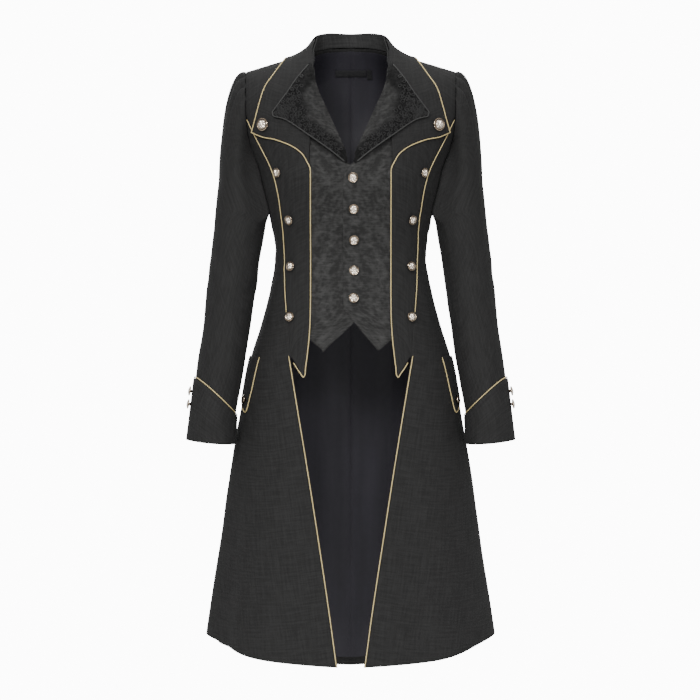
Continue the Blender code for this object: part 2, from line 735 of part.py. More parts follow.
def vest_rows(name):
    rows = []
    edges = [(drop, follow(VEST_NECK_EDGE, drop), VEST_HIDDEN_EDGE) for drop in VEST_NECK_ROWS]
    edges += [(drop, follow(VEST_CLOSING_EDGE, drop), VEST_HIDDEN_EDGE) for drop in VEST_CLOSING_ROWS]
    edges += [(drop, x, follow(VEST_OUTER_EDGE, drop)) for drop, x in VEST_POINTS[name]]
    for drop, first, last in edges:
        rows.append([(front_angle(x, drop), drop, x) for x in across(first, last, VEST_COLUMNS)])
    return rows


def vest_lift(name, x, drop):
    """Lift of a vest front, which lies lower where the other front laps over it."""
    lapped = name == "right"
    near = 1 - ease((x - VEST_LAP_START) / VEST_LAP_REACH)
    low = ease((drop - VEST_LAP_DROP) / VEST_LAP_REACH)
    head = VEST_HEAD_DEPTH * (1 - ease((drop - VEST_HEAD_DROP) / VEST_LAP_REACH))
    return -VEST_UNDER - head - (VEST_LAPPED_DEPTH * near * low if lapped else 0)


def make_vest():
    for name, side in SIDES:
        rows = vest_rows(name)
        faces = []
        for depth in (0, FINE_CLOTH):
            faces.append([[skin(angle, drop, vest_lift(name, x, drop) - depth) for angle, drop, x in row]
                          for row in rows])
        wall(f"vest_front_{name}", faces[0], faces[1], "jacquard", side)


def vest_lapel_lift(x, drop):
    """Lift of the vest lapel's under face: low on the vest front, then up over the wing collar."""
    roll_x = follow(ROLL_LINE, drop)
    neck_x = follow(VEST_NECK_EDGE, drop)
    settled = min(max((drop - VEST_LAPEL_START_DROP) / VEST_LAPEL_SETTLE, 0), 1)
    start = mix(VEST_LAPEL_TOP_START, VEST_LAPEL_LOW, settled)
    climb = ease((x - neck_x) / max(roll_x - VEST_LAPEL_LEAD - neck_x, 2))
    return mix(start, VEST_LAPEL_HIGH, climb) + VEST_LAPEL_RISE * max(x - roll_x, 0)


def make_vest_lapels():
    for name, side in SIDES:
        stations = []
        for table in (VEST_LAPEL_UPPER, VEST_LAPEL_TIP, VEST_LAPEL_LOWER):
            steps = 1 if table is VEST_LAPEL_TIP else 2
            stations += refine(table, steps)[1 if stations else 0:]
        outer, inner = [], []
        for neck_x, neck_drop, edge_x, edge_drop in stations:
            places = [(mix(neck_x, edge_x, t), mix(neck_drop, edge_drop, t)) for t in VEST_LAPEL_ACROSS]
            lifts = [vest_lapel_lift(x, drop) for x, drop in places]
            outer.append([front_skin(x, drop, up + FINE_CLOTH) for (x, drop), up in zip(places, lifts)])
            inner.append([front_skin(x, drop, up) for (x, drop), up in zip(places, lifts)])
        wall(f"vest_lapel_{name}", outer, inner, "jacquard", side)


# Sleeves and cuffs

def armhole_points():
    """Points of the armhole edge, from the shoulder down the back and up the front, with their turns."""
    back, front = [], []
    for drop in armhole_drops():
        x = follow(ARMHOLE, drop)
        below = max(drop, ridge_drop(x) + SHOULDER_SEAM_SINK)
        turn = acos(1 - 2 * (drop - SHOULDER_DROP) / (UNDERARM_DROP - SHOULDER_DROP))
        back.append((turn, back_skin(x, below)))
        front.append((-turn, front_skin(x, below)))
    return back + front[-2:0:-1]


def sleeve_point(turn, drop, lift=0.0):
    """Point round the sleeve: turn 0 is its outer side, a quarter turn the back, minus that the front."""
    centre = Vector((follow(SLEEVE, drop, 1), follow(SLEEVE, drop, 2), -drop))
    step = 5.0
    above = Vector((follow(SLEEVE, drop - step, 1), follow(SLEEVE, drop - step, 2), step - drop))
    below = Vector((follow(SLEEVE, drop + step, 1), follow(SLEEVE, drop + step, 2), -drop - step))
    along = (below - above).normalized()
    outward = Vector((1, 0, along.x)).normalized()
    backward = along.cross(outward) * -1
    width = follow(SLEEVE, drop, 3) + lift
    depth = follow(SLEEVE, drop, 4) + lift
    return centre + outward * width * cos(turn) + backward * depth * sin(turn)


def sleeve_grid():
    columns = armhole_points()
    rows = [[point + Vector((SLEEVE_CLEAR, 0, 0)) for _, point in columns]]
    for step in SLEEVE_HEAD_STEPS:
        rows.append([sleeve_head_point(turn, point, step) for turn, point in columns])
    for drop in SLEEVE_ROWS:
        rows.append([sleeve_point(turn, drop) for turn, _ in columns])
    normals = grid_normals(rows, ring=True)
    last = len(columns)
    for r, step in enumerate(SLEEVE_HEAD_STEPS, start=1):
        for c in range(last):
            away = min(c, last - c)
            if away < len(SLEEVE_HEAD_PLEATS):
                fade = (1 - step) ** 2
                rows[r][c] = rows[r][c] + normals[r][c] * SLEEVE_HEAD_PLEATS[away] * fade
    return rows


def sleeve_head_point(turn, point, step):
    """Point on the puffed sleeve head between the armhole and the first level section."""
    top = (1 + cos(turn)) / 2
    start = point + Vector((SLEEVE_CLEAR, 0, 0))
    end = sleeve_point(turn, SLEEVE_ROWS[0])
    reach = (end - start).length * SLEEVE_HEAD_REACH
    puff = SLEEVE_HEAD_STANDS + SLEEVE_HEAD_PUFF * top * top
    rise = SLEEVE_HEAD_RISE * top * top - SLEEVE_HEAD_SINK * (1 - top)
    out = start + Vector((puff, SLEEVE_HEAD_DEPTH * sin(turn), rise))
    above = end + Vector((-SLEEVE_HEAD_LEAN * top, 0, reach))
    rest = 1 - step
    return (start * rest ** 3 + out * 3 * rest * rest * step + above * 3 * rest * step * step
            + end * step ** 3)


def cuff_drop(turn, share):
    top = CUFF_TOP_DROP - CUFF_TOP_SWING * cos(turn)
    return mix(top, CUFF_BOTTOM_DROP, share)


def cuff_face(turn, share, lift):
    return sleeve_point(turn, cuff_drop(turn, share), CUFF_STAND + CUFF_FLARE * share + lift)


def make_sleeves():
    turns = [turn for turn, _ in armhole_points()]
    grid = sleeve_grid()
    inner = shifted(grid, grid_normals(grid, ring=True), -CLOTH)
    cuff_outer = [[cuff_face(turn, share, CUFF_CLOTH) for turn in turns] for share in CUFF_ROWS]
    cuff_inner = [[cuff_face(turn, share, 0) for turn in turns] for share in CUFF_ROWS]
    piping_lift = CUFF_STAND + CUFF_CLOTH / 2
    above = [sleeve_point(turn, cuff_drop(turn, 0) - CUFF_PIPING_RISE, piping_lift) for turn in turns]
    for name, side in SIDES:
        wall(f"sleeve_{name}", grid, inner, "twill", side, ring=True)
        wall(f"cuff_{name}", cuff_outer, cuff_inner, "twill", side, ring=True)
        piping(f"cuff_piping_{name}", above, side, closed=True)
        for i, drop in enumerate(CUFF_BUTTONS, start=1):
            top = cuff_drop(CUFF_BUTTON_TURN, 0)
            share = (drop - top) / (CUFF_BOTTOM_DROP - top)
            place = cuff_face(CUFF_BUTTON_TURN, share, CUFF_CLOTH)
            normal = place - cuff_face(CUFF_BUTTON_TURN, share, 0)
            button(f"cuff_button_{name}_{i}", place, normal.normalized(), side=side)


# Pocket flaps

def make_flaps():
    places = [[(angle, mix(top, bottom, share)) for angle, top, bottom in FLAP] for share in FLAP_ROWS]
    edge = [skin(angle, bottom, FLAP_LIFT + CLOTH / 2) for angle, _, bottom in FLAP]
    normals = [skin_normal(angle, bottom) for angle, _, bottom in FLAP]
    path = beside(edge, normals, 0, PIPING_RADIUS + SEAM_GAP)
    angle, drop = FLAP_BUTTON
    for name, side in SIDES:
        skin_wall(f"pocket_flap_{name}", places, FLAP_LIFT + CLOTH, CLOTH, "twill", side)
        piping(f"flap_piping_{name}", path, side)
        place = skin(angle, drop, FLAP_LIFT + CLOTH)
        button(f"flap_button_{name}", place, skin_normal(angle, drop), side=side)


# Piping of the body

def wing_piping_path():
    """Along the collar's outer edge to the break, down the front edge and round the tab."""
    grid = wing_grid(SEAM_GAP / 2)
    normals = wing_normals(grid)
    edge = [row[-1] for row in grid]
    turned = beside(edge, [line[-1] for line in normals], -FINE_CLOTH / 2, -PIPING_RADIUS - SEAM_GAP)
    crossing = [front_skin(x, drop, lift) for x, drop, lift in BREAK_CROSSING]
    rows = [(follow(FRONT_EDGE, drop), drop) for drop in WAIST_ROWS]
    front = [front_skin(x, drop) for x, drop in rows]
    faces = [skin_normal(front_angle(x, drop), drop) for x, drop in rows]
    edge = beside(front, faces, -CLOTH / 2, PIPING_RADIUS + SEAM_GAP)
    return turned[:-1] + crossing + edge + [front_skin(x, drop, -CLOTH / 2) for x, drop in TAB_PIPING]


def seam_piping_path(table, drops, outward=0.0):
    points = [(follow(table, drop), drop) for drop in drops]
    path = [front_skin(x, drop) for x, drop in points]
    faces = [skin_normal(front_angle(x, drop), drop) for x, drop in points]
    return beside(path, faces, PIPING_RADIUS + SEAM_GAP, outward)


def make_piping():
    princess_drops = (SIDE_START_DROP,) + ARMHOLE_ROWS + WAIST_ROWS[:-2] + (PRINCESS_PIPING_END,)
    skirt_drops = (WAIST_ROWS[-1],) + SKIRT_ROWS
    hem_drops = [mix(HEM_START, follow(HEM, SKIRT_EDGE_TURN), w) for w in HEM_ROWS]
    for name, side in SIDES:
        piping(f"wing_piping_{name}", wing_piping_path(), side)
        piping(f"princess_piping_{name}", seam_piping_path(PRINCESS_SEAM, princess_drops), side)
        skirt = seam_piping_path(SKIRT_EDGE, skirt_drops + tuple(hem_drops), -PIPING_RADIUS)
        piping(f"skirt_piping_{name}", skirt, side)


# Buttons of the body

def make_buttons():
    grid = wing_grid()
    normals = grid_normals(grid)
    row, column = LAPEL_BUTTON_CELL
    down, out = LAPEL_BUTTON_SHARE

    def between(cells):
        upper = cells[row][column].lerp(cells[row][column + 1], out)
        lower = cells[row + 1][column].lerp(cells[row + 1][column + 1], out)
        return upper.lerp(lower, down)

    for name, side in SIDES:
        button(f"lapel_button_{name}", between(grid), between(normals).normalized(),
               LARGE_BUTTON_RADIUS, side)
        for i, (x, drop, stand) in enumerate(PRINCESS_BUTTONS, start=1):
            normal = skin_normal(front_angle(x, drop), drop)
            button(f"princess_button_{name}_{i}", front_skin(x, drop, stand), normal, side=side)
    for i, (x, drop, stand) in enumerate(VEST_BUTTONS, start=1):
        normal = skin_normal(front_angle(x, drop), drop)
        button(f"vest_button_{i}", front_skin(x, drop, stand - VEST_UNDER), normal)


def build():
    for old in list(bpy.data.objects):
        bpy.data.objects.remove(old, do_unlink=True)
    coat = bpy.data.collections.new("prince_style_coat")
    bpy.context.scene.collection.children.link(coat)
    make_panels()
    make_lining()
    make_wing_collar()
    make_stand()
    make_vest()
    make_vest_lapels()
    make_sleeves()
    make_flaps()
    make_piping()
    make_buttons()


build()
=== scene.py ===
# Looks of the prince style coat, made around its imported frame.
# Lengths are in millimetres until a mesh is made. A drop is a distance below the shoulder neck points.
# The wearer's left is +X and the front faces -Y. Pieces are made as left ones and mirrored for the right.

from math import asin, cos, degrees, exp, pi, radians, sin, sqrt, tau

import bmesh
import bpy
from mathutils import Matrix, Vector, noise


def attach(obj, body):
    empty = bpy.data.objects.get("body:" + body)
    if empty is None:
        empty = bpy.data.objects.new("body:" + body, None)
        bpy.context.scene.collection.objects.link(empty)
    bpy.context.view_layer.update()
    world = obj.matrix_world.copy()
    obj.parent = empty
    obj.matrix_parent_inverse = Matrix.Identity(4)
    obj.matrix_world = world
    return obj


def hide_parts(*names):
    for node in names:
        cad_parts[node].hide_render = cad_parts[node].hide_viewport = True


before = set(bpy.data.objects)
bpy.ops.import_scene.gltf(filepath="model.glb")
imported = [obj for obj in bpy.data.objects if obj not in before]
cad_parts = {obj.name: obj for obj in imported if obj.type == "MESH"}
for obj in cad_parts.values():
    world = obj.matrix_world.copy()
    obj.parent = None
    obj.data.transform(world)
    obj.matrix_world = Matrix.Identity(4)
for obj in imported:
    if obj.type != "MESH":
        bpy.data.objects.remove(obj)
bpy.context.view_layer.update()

MM = 0.001
SIDES = (("left", 1), ("right", -1))

# Cloths
CLOTH = 2.0
FINE_CLOTH = 1.8
LINING = 1.0
SEAM_GAP = 0.3
PIPING_RADIUS = 1.3
RIM_REACH = 1.3
RIM_SHARE = 0.3
HEM_FACING = 42.0

# Form of the body, as the frame has it
NECK_HALF_WIDTH = 68.0
NECK_POINT_DROP = 1.0
SHOULDER_SLOPE = 0.295
NECK_RISE_SLOPE = 1.2
SHOULDER_DROP = 34.0
UNDERARM_DROP = 198.0
PRINCESS_DROP = 117.0
SIDE_START_DROP = 122.0
BREAK_DROP = 201.0
POCKET_DROP = 523.0
SIDE_HEM_DROP = 998.0
ROUNDNESS = 0.87
SHOULDER_ROLL = 70.0
CUP_HEIGHT, CUP_X, CUP_DROP, CUP_REACH = 7.0, 88.0, 212.0, 48.0
FLUTE_HEIGHT, FLUTE_START, FLUTE_COUNT = 5.0, 600.0, 9
STEP, FINE_STEP, ARM_STEP = 0.4, 0.05, 5
TINY = 0.001

# Level sections: drop, half width, depth in front of the side seam, depth behind it
BODY = [
    (-60, 215, 40, 55),
    (-13, 215, 57, 60),
    (0, 215, 62, 66),
    (40, 214, 81, 84),
    (80, 208, 97, 94),
    (120, 198, 110, 98),
    (160, 177, 120, 97),
    (198, 160, 126, 94.5),
    (230, 152.3, 126, 92),
    (285, 139.3, 112, 87),
    (347, 129.5, 96, 84),
    (410, 138.7, 100, 96),
    (470, 154.5, 109, 111),
    (533, 173.7, 119, 123),
    (600, 186, 130, 134),
    (700, 203.5, 147, 151),
    (850, 223.5, 170, 176),
    (1000, 245.5, 193, 200),
    (1090, 258, 206, 214),
]

# Hem: angle round the body from the front, drop
HEM = [(0, 1036), (30, 1029), (60, 1009), (90, SIDE_HEM_DROP - 2), (120, 1032), (150, 1070), (180, 1078)]

# Seams and edges: drop, distance from the centre
ARMHOLE = [(34, 180), (75, 178.5), (117, 177.5), (145, 174.5), (163, 170.5), (181, 165.5), (198, 160)]
ROLL_LINE = [(1, 68), (8, 67.5), (18, 66.8), (30, 66), (60, 66), (100, 67), (150, 68.3), (201, 69.2)]
FRONT_EDGE = [(201, 69.2), (349, 69.8), (450, 69.7), (490, 71.5), (523, 75)]
TAB_INNER_EDGE = [(523, 75), (540, 77.3), (554, 79.2)]
TAB_OUTER_EDGE = [(523, 101), (540, 90), (554, 81)]
PRINCESS_SEAM = [(117, 177.4), (146, 163.5), (214, 130.5), (281, 117), (349, 112), (411, 110.5), (523, 102.5)]
SKIRT_EDGE = [(523, 102.5), (633, 84), (930, 36.8), (1040, 21)]
BACK_SEAM = [(117, 177.4), (146, 160), (200, 126), (280, 98), (349, 86), (450, 94), (560, 105),
             (750, 121), (1000, 141), (1090, 148)]
BACK_NECK = [(0, -13), (38, -10), (55, -5), (64, -1), (68, 1)]
VEST_NECK_EDGE = [(27, 65.2), (63, 58.7), (96, 44.3), (133, 28.2), (173, 10.5), (199, 4.6)]

# Rows and columns of the panels, and how finely each span is cut
HEAD_ROWS = (0.0, 0.03, 0.1, 0.24, 0.45, 0.72, 1.0)
ARMHOLE_ROWS = (131, 145, 163, 181, 198)
WAIST_ROWS = (214, 233, 258, 290, 322, 350, 382, 420, 468, 523)
TAB_ROWS = (533, 543, 554)
TAB_PIPING = [(74.8, 533), (76.1, 543), (76.9, 553.5), (80.1, 558), (83.9, 552.8), (90.2, 544), (96.6, 534)]
SKIRT_ROWS = (560, 610, 700, 810, 930)
HEM_ROWS = (0.0, 0.5, 1.0)
HEM_START = 930.0
SKIRT_EDGE_TURN = 8.0
PANEL_CELL = 7.0

# Wing collar stations, as neck x, neck drop, rise x, rise y, rise up, edge x, edge drop, edge lift
WING_BACK = [
    (0, -13, 0, 2, 25, 0, 18, 3.0),
    (20, -12.2, -1, 1.5, 25.5, 32, 17.6, 3.0),
    (38, -10, -2, 0.5, 26.5, 60, 17, 2.8),
    (55, -5, -3, -1, 27, 87, 15.5, 2.5),
    (64, -1, -5, -3, 26, 101, 13.8, 2.8),
    (68, 1, -8, -6, 20, 107, 12.5, 3.0),
]
WING_UPPER = [
    WING_BACK[-1],
    (68.2, 8, -4.4, -3, 12, 118, 31, 3.0),
    (66.0, 18, -2.8, -1, 5, 130, 49, 2.6),
    (63.0, 31, -0.8, 0, 0.5, 143, 69, 2.4),
    (66.2, 68, 0, 0, 0, 152, 97, 2.2),
    (67, 100, 0, 0, 0, 158, 122, 3.4),
    (67.6, 125, 0, 0, 0, 163, 142, 4.6),
]
WING_LOWER = [
    WING_UPPER[-1],
    (68, 142, 0, 0, 0, 146, 151, 3.4),
    (68.3, 156, 0, 0, 0, 124.6, 157, 2.4),
    (68.7, 172, 0, 0, 0, 98, 169, 1.6),
    (69, 187, 0, 0, 0, 80, 183, 1.0),
    (69.2, 200, 0, 0, 0, 70.4, 199.4, 0.6),
]
WING_STEPS = 6
WING_COLUMNS = 22
WING_REST = 1.1
WING_FALL_POWER = 2.3
STAND_INSET, STAND_BELOW = 3.0, 0.6
STAND_BASE_CLEAR = 1.0
STAND_FRONT_STATIONS = 4
STAND_COLUMNS = 8
NECK_CENTRE_Y = 10.0
BREAK_CROSSING = [(69.8, 203, 1.9), (67.9, 208, 1.0)]

# Vest lapel stations, as neck x, neck drop, edge x, edge drop
VEST_LAPEL_UPPER = [
    (65.2, 28, 67.5, 31),
    (62, 46, 88, 56),
    (57, 66, 108, 84),
    (50.5, 84, 129.3, 113.5),
]
VEST_LAPEL_TIP = [VEST_LAPEL_UPPER[-1], (46, 93, 127, 121.4)]
VEST_LAPEL_LOWER = [
    VEST_LAPEL_TIP[-1],
    (38, 111, 105, 129),
    (27, 136, 72, 153),
    (16, 160, 40, 176.5),
    (8, 180, 16, 194),
    (5.2, 197, 7, 200.5),
]
VEST_LAPEL_STEPS = 7
VEST_LAPEL_COLUMNS = 20
VEST_LAPEL_LOW, VEST_LAPEL_HIGH, VEST_LAPEL_TOP_START = -2.4, 6.5, 4.8
VEST_LAPEL_CLIMB, VEST_LAPEL_LEAD, VEST_LAPEL_RISE = 26.0, 1.5, 0.02
VEST_LAPEL_START_DROP, VEST_LAPEL_SETTLE = 28.0, 52.0

# Vest fronts
VEST_UNDER = CLOTH + 0.8
VEST_HIDDEN_EDGE = 90.0
VEST_NECK_ROWS = (30, 45, 63, 84, 108) + ARMHOLE_ROWS
VEST_CLOSING_EDGE = [(198, 4.8), (206, -3.5), (214, -9), (231, -12.5), (443, -12.5)]
VEST_CLOSING_ROWS = (198, 206) + WAIST_ROWS[:8] + (440,)
VEST_LAPPED_DEPTH = 3.0
VEST_HEAD_DEPTH, VEST_HEAD_DROP = 1.2, 95.0
VEST_LAP_START, VEST_LAP_REACH, VEST_LAP_DROP = 14.0, 20.0, 150.0
VEST_POINTS = {
    "left": [(443, -12.5), (461, 2), (479, 17), (497, 32), (512.5, 45.6)],
    "right": [(459, -12.5), (473, 2), (487, 17), (501, 32), (515.5, 46.6)],
}
VEST_OUTER_EDGE = [(443, 90), (461, 90), (479, 87), (497, 67), (512.5, 48)]

# Sleeve sections along the arm: drop, centre x, centre y, half width, half depth
SLEEVE = [
    (215, 194.0, 2, 33.0, 60),
    (250, 190.5, 1, 40.0, 58.5),
    (285, 189.5, -1, 43.9, 57),
    (347, 196.8, -10, 42.6, 54),
    (409, 204.2, -20, 41.5, 52),
    (492, 214.2, -36, 40.0, 50),
    (560, 224.3, -48, 39.4, 48),
    (616, 231.8, -57, 37.2, 46),
    (680, 237.5, -66, 37.6, 46.5),
]
SLEEVE_TOP_DROP, SLEEVE_END_DROP = 215.0, 663.0
SLEEVE_HEAD_CUTS, SLEEVE_CUTS = 16, 64
SLEEVE_COLUMNS = 168
SLEEVE_HEAD_STANDS, SLEEVE_HEAD_PUFF, SLEEVE_HEAD_DEPTH = 6.0, 25.0, 6.0
SLEEVE_HEAD_RISE, SLEEVE_HEAD_SINK, SLEEVE_HEAD_LEAN = 8.0, 10.0, 2.0
SLEEVE_HEAD_REACH = 0.45
SLEEVE_CLEAR = 0.4

# Cuffs and pocket flaps
CUFF_CLOTH = 2.4
CUFF_TOP_DROP = 594.0
CUFF_TOP_SWING = 27.0
CUFF_BOTTOM_DROP = 667.0
CUFF_FRONT_FALL = 9.0
CUFF_STAND, CUFF_FLARE = 1.0, 2.2
CUFF_PIPING_RISE = 2.1
CUFF_CUTS = 14
FLAP = [(62, 523, 525), (63.5, 523, 560), (65.5, 523, 590), (68, 523, 616), (74, 523, 611),
        (82, 523, 599), (90, 523, 590), (99, 523, 583), (107, 523, 577)]
FLAP_LIFT = 0.9
FLAP_STEPS, FLAP_CUTS = 5, 18

# Back lining and its bare labels
LINING_HEM_RISE = 15.0
LINING_CLEAR = 0.6
LINING_START = 0.02
LABEL_WIDTH, LABEL_HEIGHT, LABEL_DROP = 54.0, 10.5, 21.7
SIZE_TAB_WIDTH, SIZE_TAB_HEIGHT, SIZE_TAB_DROP, SIZE_TAB_X = 9.0, 17.0, 20.0, 28.5
LABEL_THICKNESS, LABEL_CLEAR = 0.7, 1.4

# Buttons: distance from the centre, drop, and how far the hollow waist stands out under them
BUTTON_RADIUS = 8.2
LARGE_BUTTON_RADIUS = 10.8
PRINCESS_BUTTONS = [(122, 213.6, 0), (102.5, 292.6, 0.1), (99.8, 371.2, 0.8), (101.3, 457.4, 0.4)]
VEST_BUTTONS = [(4, 224, 0), (5, 276, 0), (5.5, 327.5, 0.5), (5.5, 378.6, 0.6), (5, 425, 0.3)]
LAPEL_BUTTON_PLACE = (149.2, 132.6)
CUFF_BUTTONS = (590, 611)
CUFF_BUTTON_TURN = radians(-15)
FLAP_BUTTON = (70.5, 598)

# Folds of the cloth
BODY_REACH, SLEEVE_REACH = 200.0, 200.0 / 3
UNEVEN_HEIGHT, UNEVEN_SIZE = 0.8, 70.0
FOLD_HEIGHT, FOLD_WIDTH, FOLD_LENGTH = 7.0, 62.0, 900.0
FOLD_START, FOLD_GROWTH, FOLD_SET_IN = 560.0, 420.0, 0.4
CREASE_HEIGHT, CREASE_WIDTH, CREASE_PITCH, CREASE_SLANT = 1.5, 45.0, 13.0, 0.12
CREASE_DROP, CREASE_REACH, CREASE_START_ANGLE, CREASE_SPREAD = 335.0, 62.0, 38.0, 22.0
SLEEVE_UNEVEN_HEIGHT, SLEEVE_UNEVEN_SIZE = 1.0, 55.0
ELBOW_HEIGHT, ELBOW_DROP, ELBOW_REACH, ELBOW_PITCH, ELBOW_WIDTH = 2.2, 385.0, 75.0, 16.0, 42.0
ELBOW_OUTSIDE, ELBOW_TURN, ELBOW_SLANT, CUFF_CALM = 0.35, 0.9, 0.35, 60.0
TUCK_HEIGHT, TUCK_TURN, TUCK_SPREAD, TUCK_EDGE, TUCK_START = 6.5, 0.34, 1.0, 0.5, 0.25
TUCK_RISE, TUCK_FALL, TUCK_SET_IN = 14, 3, 1.5
SLIGHT = 0.01

# How finely the looks are cut
HEAD_STEP = 0.07
HEM_STEP = 0.08
CENTRE_COLUMNS = 10
SIDE_COLUMNS = 26
BACK_COLUMNS = 22
BACK_CORNER_SHARE = 0.378
VEST_COLUMNS = 20
SLEEVE_APART = 500.0
FACING_SHARE = 0.3
SEAM_SINK = 0.9
TAB_STEPS = 4
PIPING_SIDES, PIPING_SHOWN, PRINCESS_PIPING_SHOWN = 10, 0.95, 0.8
CORD_END, LEVEL_LIMIT, MITRE_LIMIT = 0.7, 0.8, 0.4
SLEEVE_UNDERARM_STANDS = 0.6
PRINCESS_PIPING_END = 449
PRESS_TURN, PRESS_SPREAD, PRESS_CLEAR, PRESS_END, PRESS_FADE = 2.7, 0.44, 0.9, 278.0, 22.0
PRESS_FRONT, PRESS_RISE = -38.0, 30
SEAM_LAP = (-2.2, -2.2, 0)
LABEL_CELL = 4.0

# Lining: an ease pleat at the centre back and loose folds below it
SEAM_ROLL, LINING_PLEAT, PLEAT_END, PLEAT_FADE = 0.12, 0.8, 160.0, 160.0
PLEAT_PLACE, PLEAT_REACH = 5.0, 3.5
LINING_FOLD, LINING_FOLD_WIDTH, LINING_FOLD_LENGTH, LINING_LOOSE_REACH = 4.0, 55.0, 520.0, 260.0
LINING_LAYER = 7.7
LABEL_OVER_PLEAT = 1.2

# Vest fronts drawn in round their buttons
PULL_DEPTH, PULL_WIDTH, PULL_HEIGHT = 0.5, 22.0, 9.0

# Worked border of the vest lapels
THREAD_RADIUS, THREAD_STANDS, THREAD_SIDES, THREAD_CELL = 0.95, 0.5, 6, 0.7
RIM_CORD_RADIUS, RIM_CORD_INSET, RIM_CORD_ENDS = 1.1, 0.9, 5.0
BORDER_START, BORDER_END, BORDER_CELL = 14.0, 12.0, 3.0
BORDER_WIDTH, BORDER_FADE = 17.0, 12.0
SPRAY_INSET, SPRAY_RADIUS, SPRAY_CLEAR = 18.5, 4.2, 3.0
BORDER_MIDDLE, VINE_SWING, VINE_PERIOD, VINE_CELL = 9.5, 3.8, 26.0, 1.2
CURL_POINTS, CURL_TURNS, CURL_INSET, CURL_RADIUS, CURL_CLOSE = 14, 1.15, 1.2, 4.4, 0.78
LEAF_POINTS, LEAF_LENGTH, LEAF_WIDTH = 10, 6.6, 3.2
LEAF_AHEAD, LEAF_ASIDE, LEAF_ANGLE = 0.28, 1.0, 1.05
SIDE_LEAF_AHEAD, SIDE_LEAF_ASIDE, SIDE_LEAF_ANGLE = 0.42, 1.5, 0.9
SPRAY_LEAF_AHEAD, SPRAY_LEAF_ASIDE, SPRAY_LEAF_TURN = 0.05, 1.0, 0.5
PALMETTE_FOOT, PALMETTE_AXIS, PALMETTE_WIDTH, PALMETTE_CURL = (118.5, 115.0), (-80, -29), 4.0, 4.6
PALMETTE_LEAVES = ((0, 21.0), (0.5, 17.0), (-0.5, 17.0), (1.05, 12.0), (-1.05, 12.0))
PALMETTE_CURLS = ((21.0, 12.5), (26.0, 4.9), (31.0, 14.5), (36.0, 6.0), (41.0, 13.0))
PALMETTE_MIDDLE, PALMETTE_REACH = (102.0, 108.0), 24.0

# Button faces
BUTTON_SIDES, BUTTON_RINGS, BUTTON_CREASE = 48, 14, 40
SHANK_FOOT, SHANK_RADIUS, SHANK_HEIGHT, BUTTON_BACK = 0.3, 2.4, 3.6, 3.8
BUTTON_DOME, BUTTON_SHOULDER, BUTTON_GROOVE, BUTTON_EDGE, BUTTON_BACK_SHARE = 6.6, 5.6, 4.5, 4.0, 0.8
BEAD_INSIDE, BEAD_COUNT, BEAD_HEIGHT, RIM_HEIGHT, RIM_END = 0.8, 16, 0.3, 0.6, 0.97
ROSETTE_REACH, ROSETTE_EYE, PETAL_COUNT, PETAL_DEPTH = 0.68, 0.16, 6, 0.8
PETAL_ROUND, PETAL_SWELL, PETAL_RISE, EYE_RISE = 0.6, 0.7, 1.6, 1.2

# Weaves: repeats in a metre of cloth, turns in degrees and depths of relief in metres
TWILL_SLUBS, TWILL_CROSS, TWILL_RIBS, TWILL_TURN, TWILL_RELIEF = (320, 24, 1), (24, 380, 1), 420, 40, 0.0005
YARN_RANGE, WAVE_DETAIL = (0.7, 1.5), 1.5
NAP_YARNS, NAP_RELIEF = (80, 80, 460), 0.002
JACQUARD_CELL, JACQUARD_ROUGH = 40.0, (0.75, 0.5)
LAPEL_CELL, LAPEL_ROUGH = 55.0, (0.7, 0.5)
THREAD_TWIST, THREAD_TURN, THREAD_RELIEF = 500, 35, 0.0001
SATIN_STREAKS, SATIN_WARP, SATIN_RELIEF = (40, 4, 1), (900, 30, 1), 0.0002
TAPE_RIBS, TAPE_RELIEF = 520, 0.0002
PIPING_RIBS, PIPING_TURN, PIPING_RELIEF = 330, 45, 0.00015
METAL_RELIEF = 0.00006

# Colours
TWILL_DARK, TWILL_LIGHT, TWILL_CLOUD = (0.0128, 0.0127, 0.0126), (0.0195, 0.0194, 0.0193), (0.5, 0.5, 0.5, 1)
# Collar stand twill: the coat's own cloth made lighter, painted light on the stand's shaded inner face
PAINTED_LIT_STAND_DARK, PAINTED_LIT_STAND_LIGHT = (0.016, 0.016, 0.016), (0.027, 0.027, 0.027)
JACQUARD_DARK, JACQUARD_LIGHT = (0.0150, 0.0149, 0.0146), (0.0450, 0.0447, 0.0438)
MOTTLE_RANGE = (0.7, 1.3)
LAPEL_DARK, LAPEL_LIGHT = (0.0130, 0.0129, 0.0127), (0.0400, 0.0397, 0.0390)
BORDER_DARK, BORDER_LIGHT = (0.0030, 0.0030, 0.0030), (0.0120, 0.0120, 0.0120)
THREAD_DARK, THREAD_LIGHT = (0.0075, 0.0075, 0.0075), (0.0200, 0.0199, 0.0197)
RIM_DARK, RIM_LIGHT = (0.024, 0.024, 0.0237), (0.044, 0.0437, 0.043)
SATIN_DARK, SATIN_LIGHT = (0.0150, 0.0140, 0.0180), (0.0225, 0.0212, 0.0270)
TAPE_DARK, TAPE_LIGHT = (0.003, 0.003, 0.0035), (0.008, 0.008, 0.009)
GOLD_DARK, GOLD_LIGHT, GOLD_WORN = (0.22, 0.16, 0.065), (0.60, 0.49, 0.24), (0.42, 0.34, 0.17, 1)
# Metal tones by relief height: the lowest is tarnish and painted shade in the hollows
METAL_TARNISH_AND_SHADE, METAL_DARK, METAL_LIGHT = (0.035, 0.026, 0.018), (0.38, 0.30, 0.22), (0.90, 0.81, 0.70)
RELIEF_RANGE = (-1.3, 0.35)

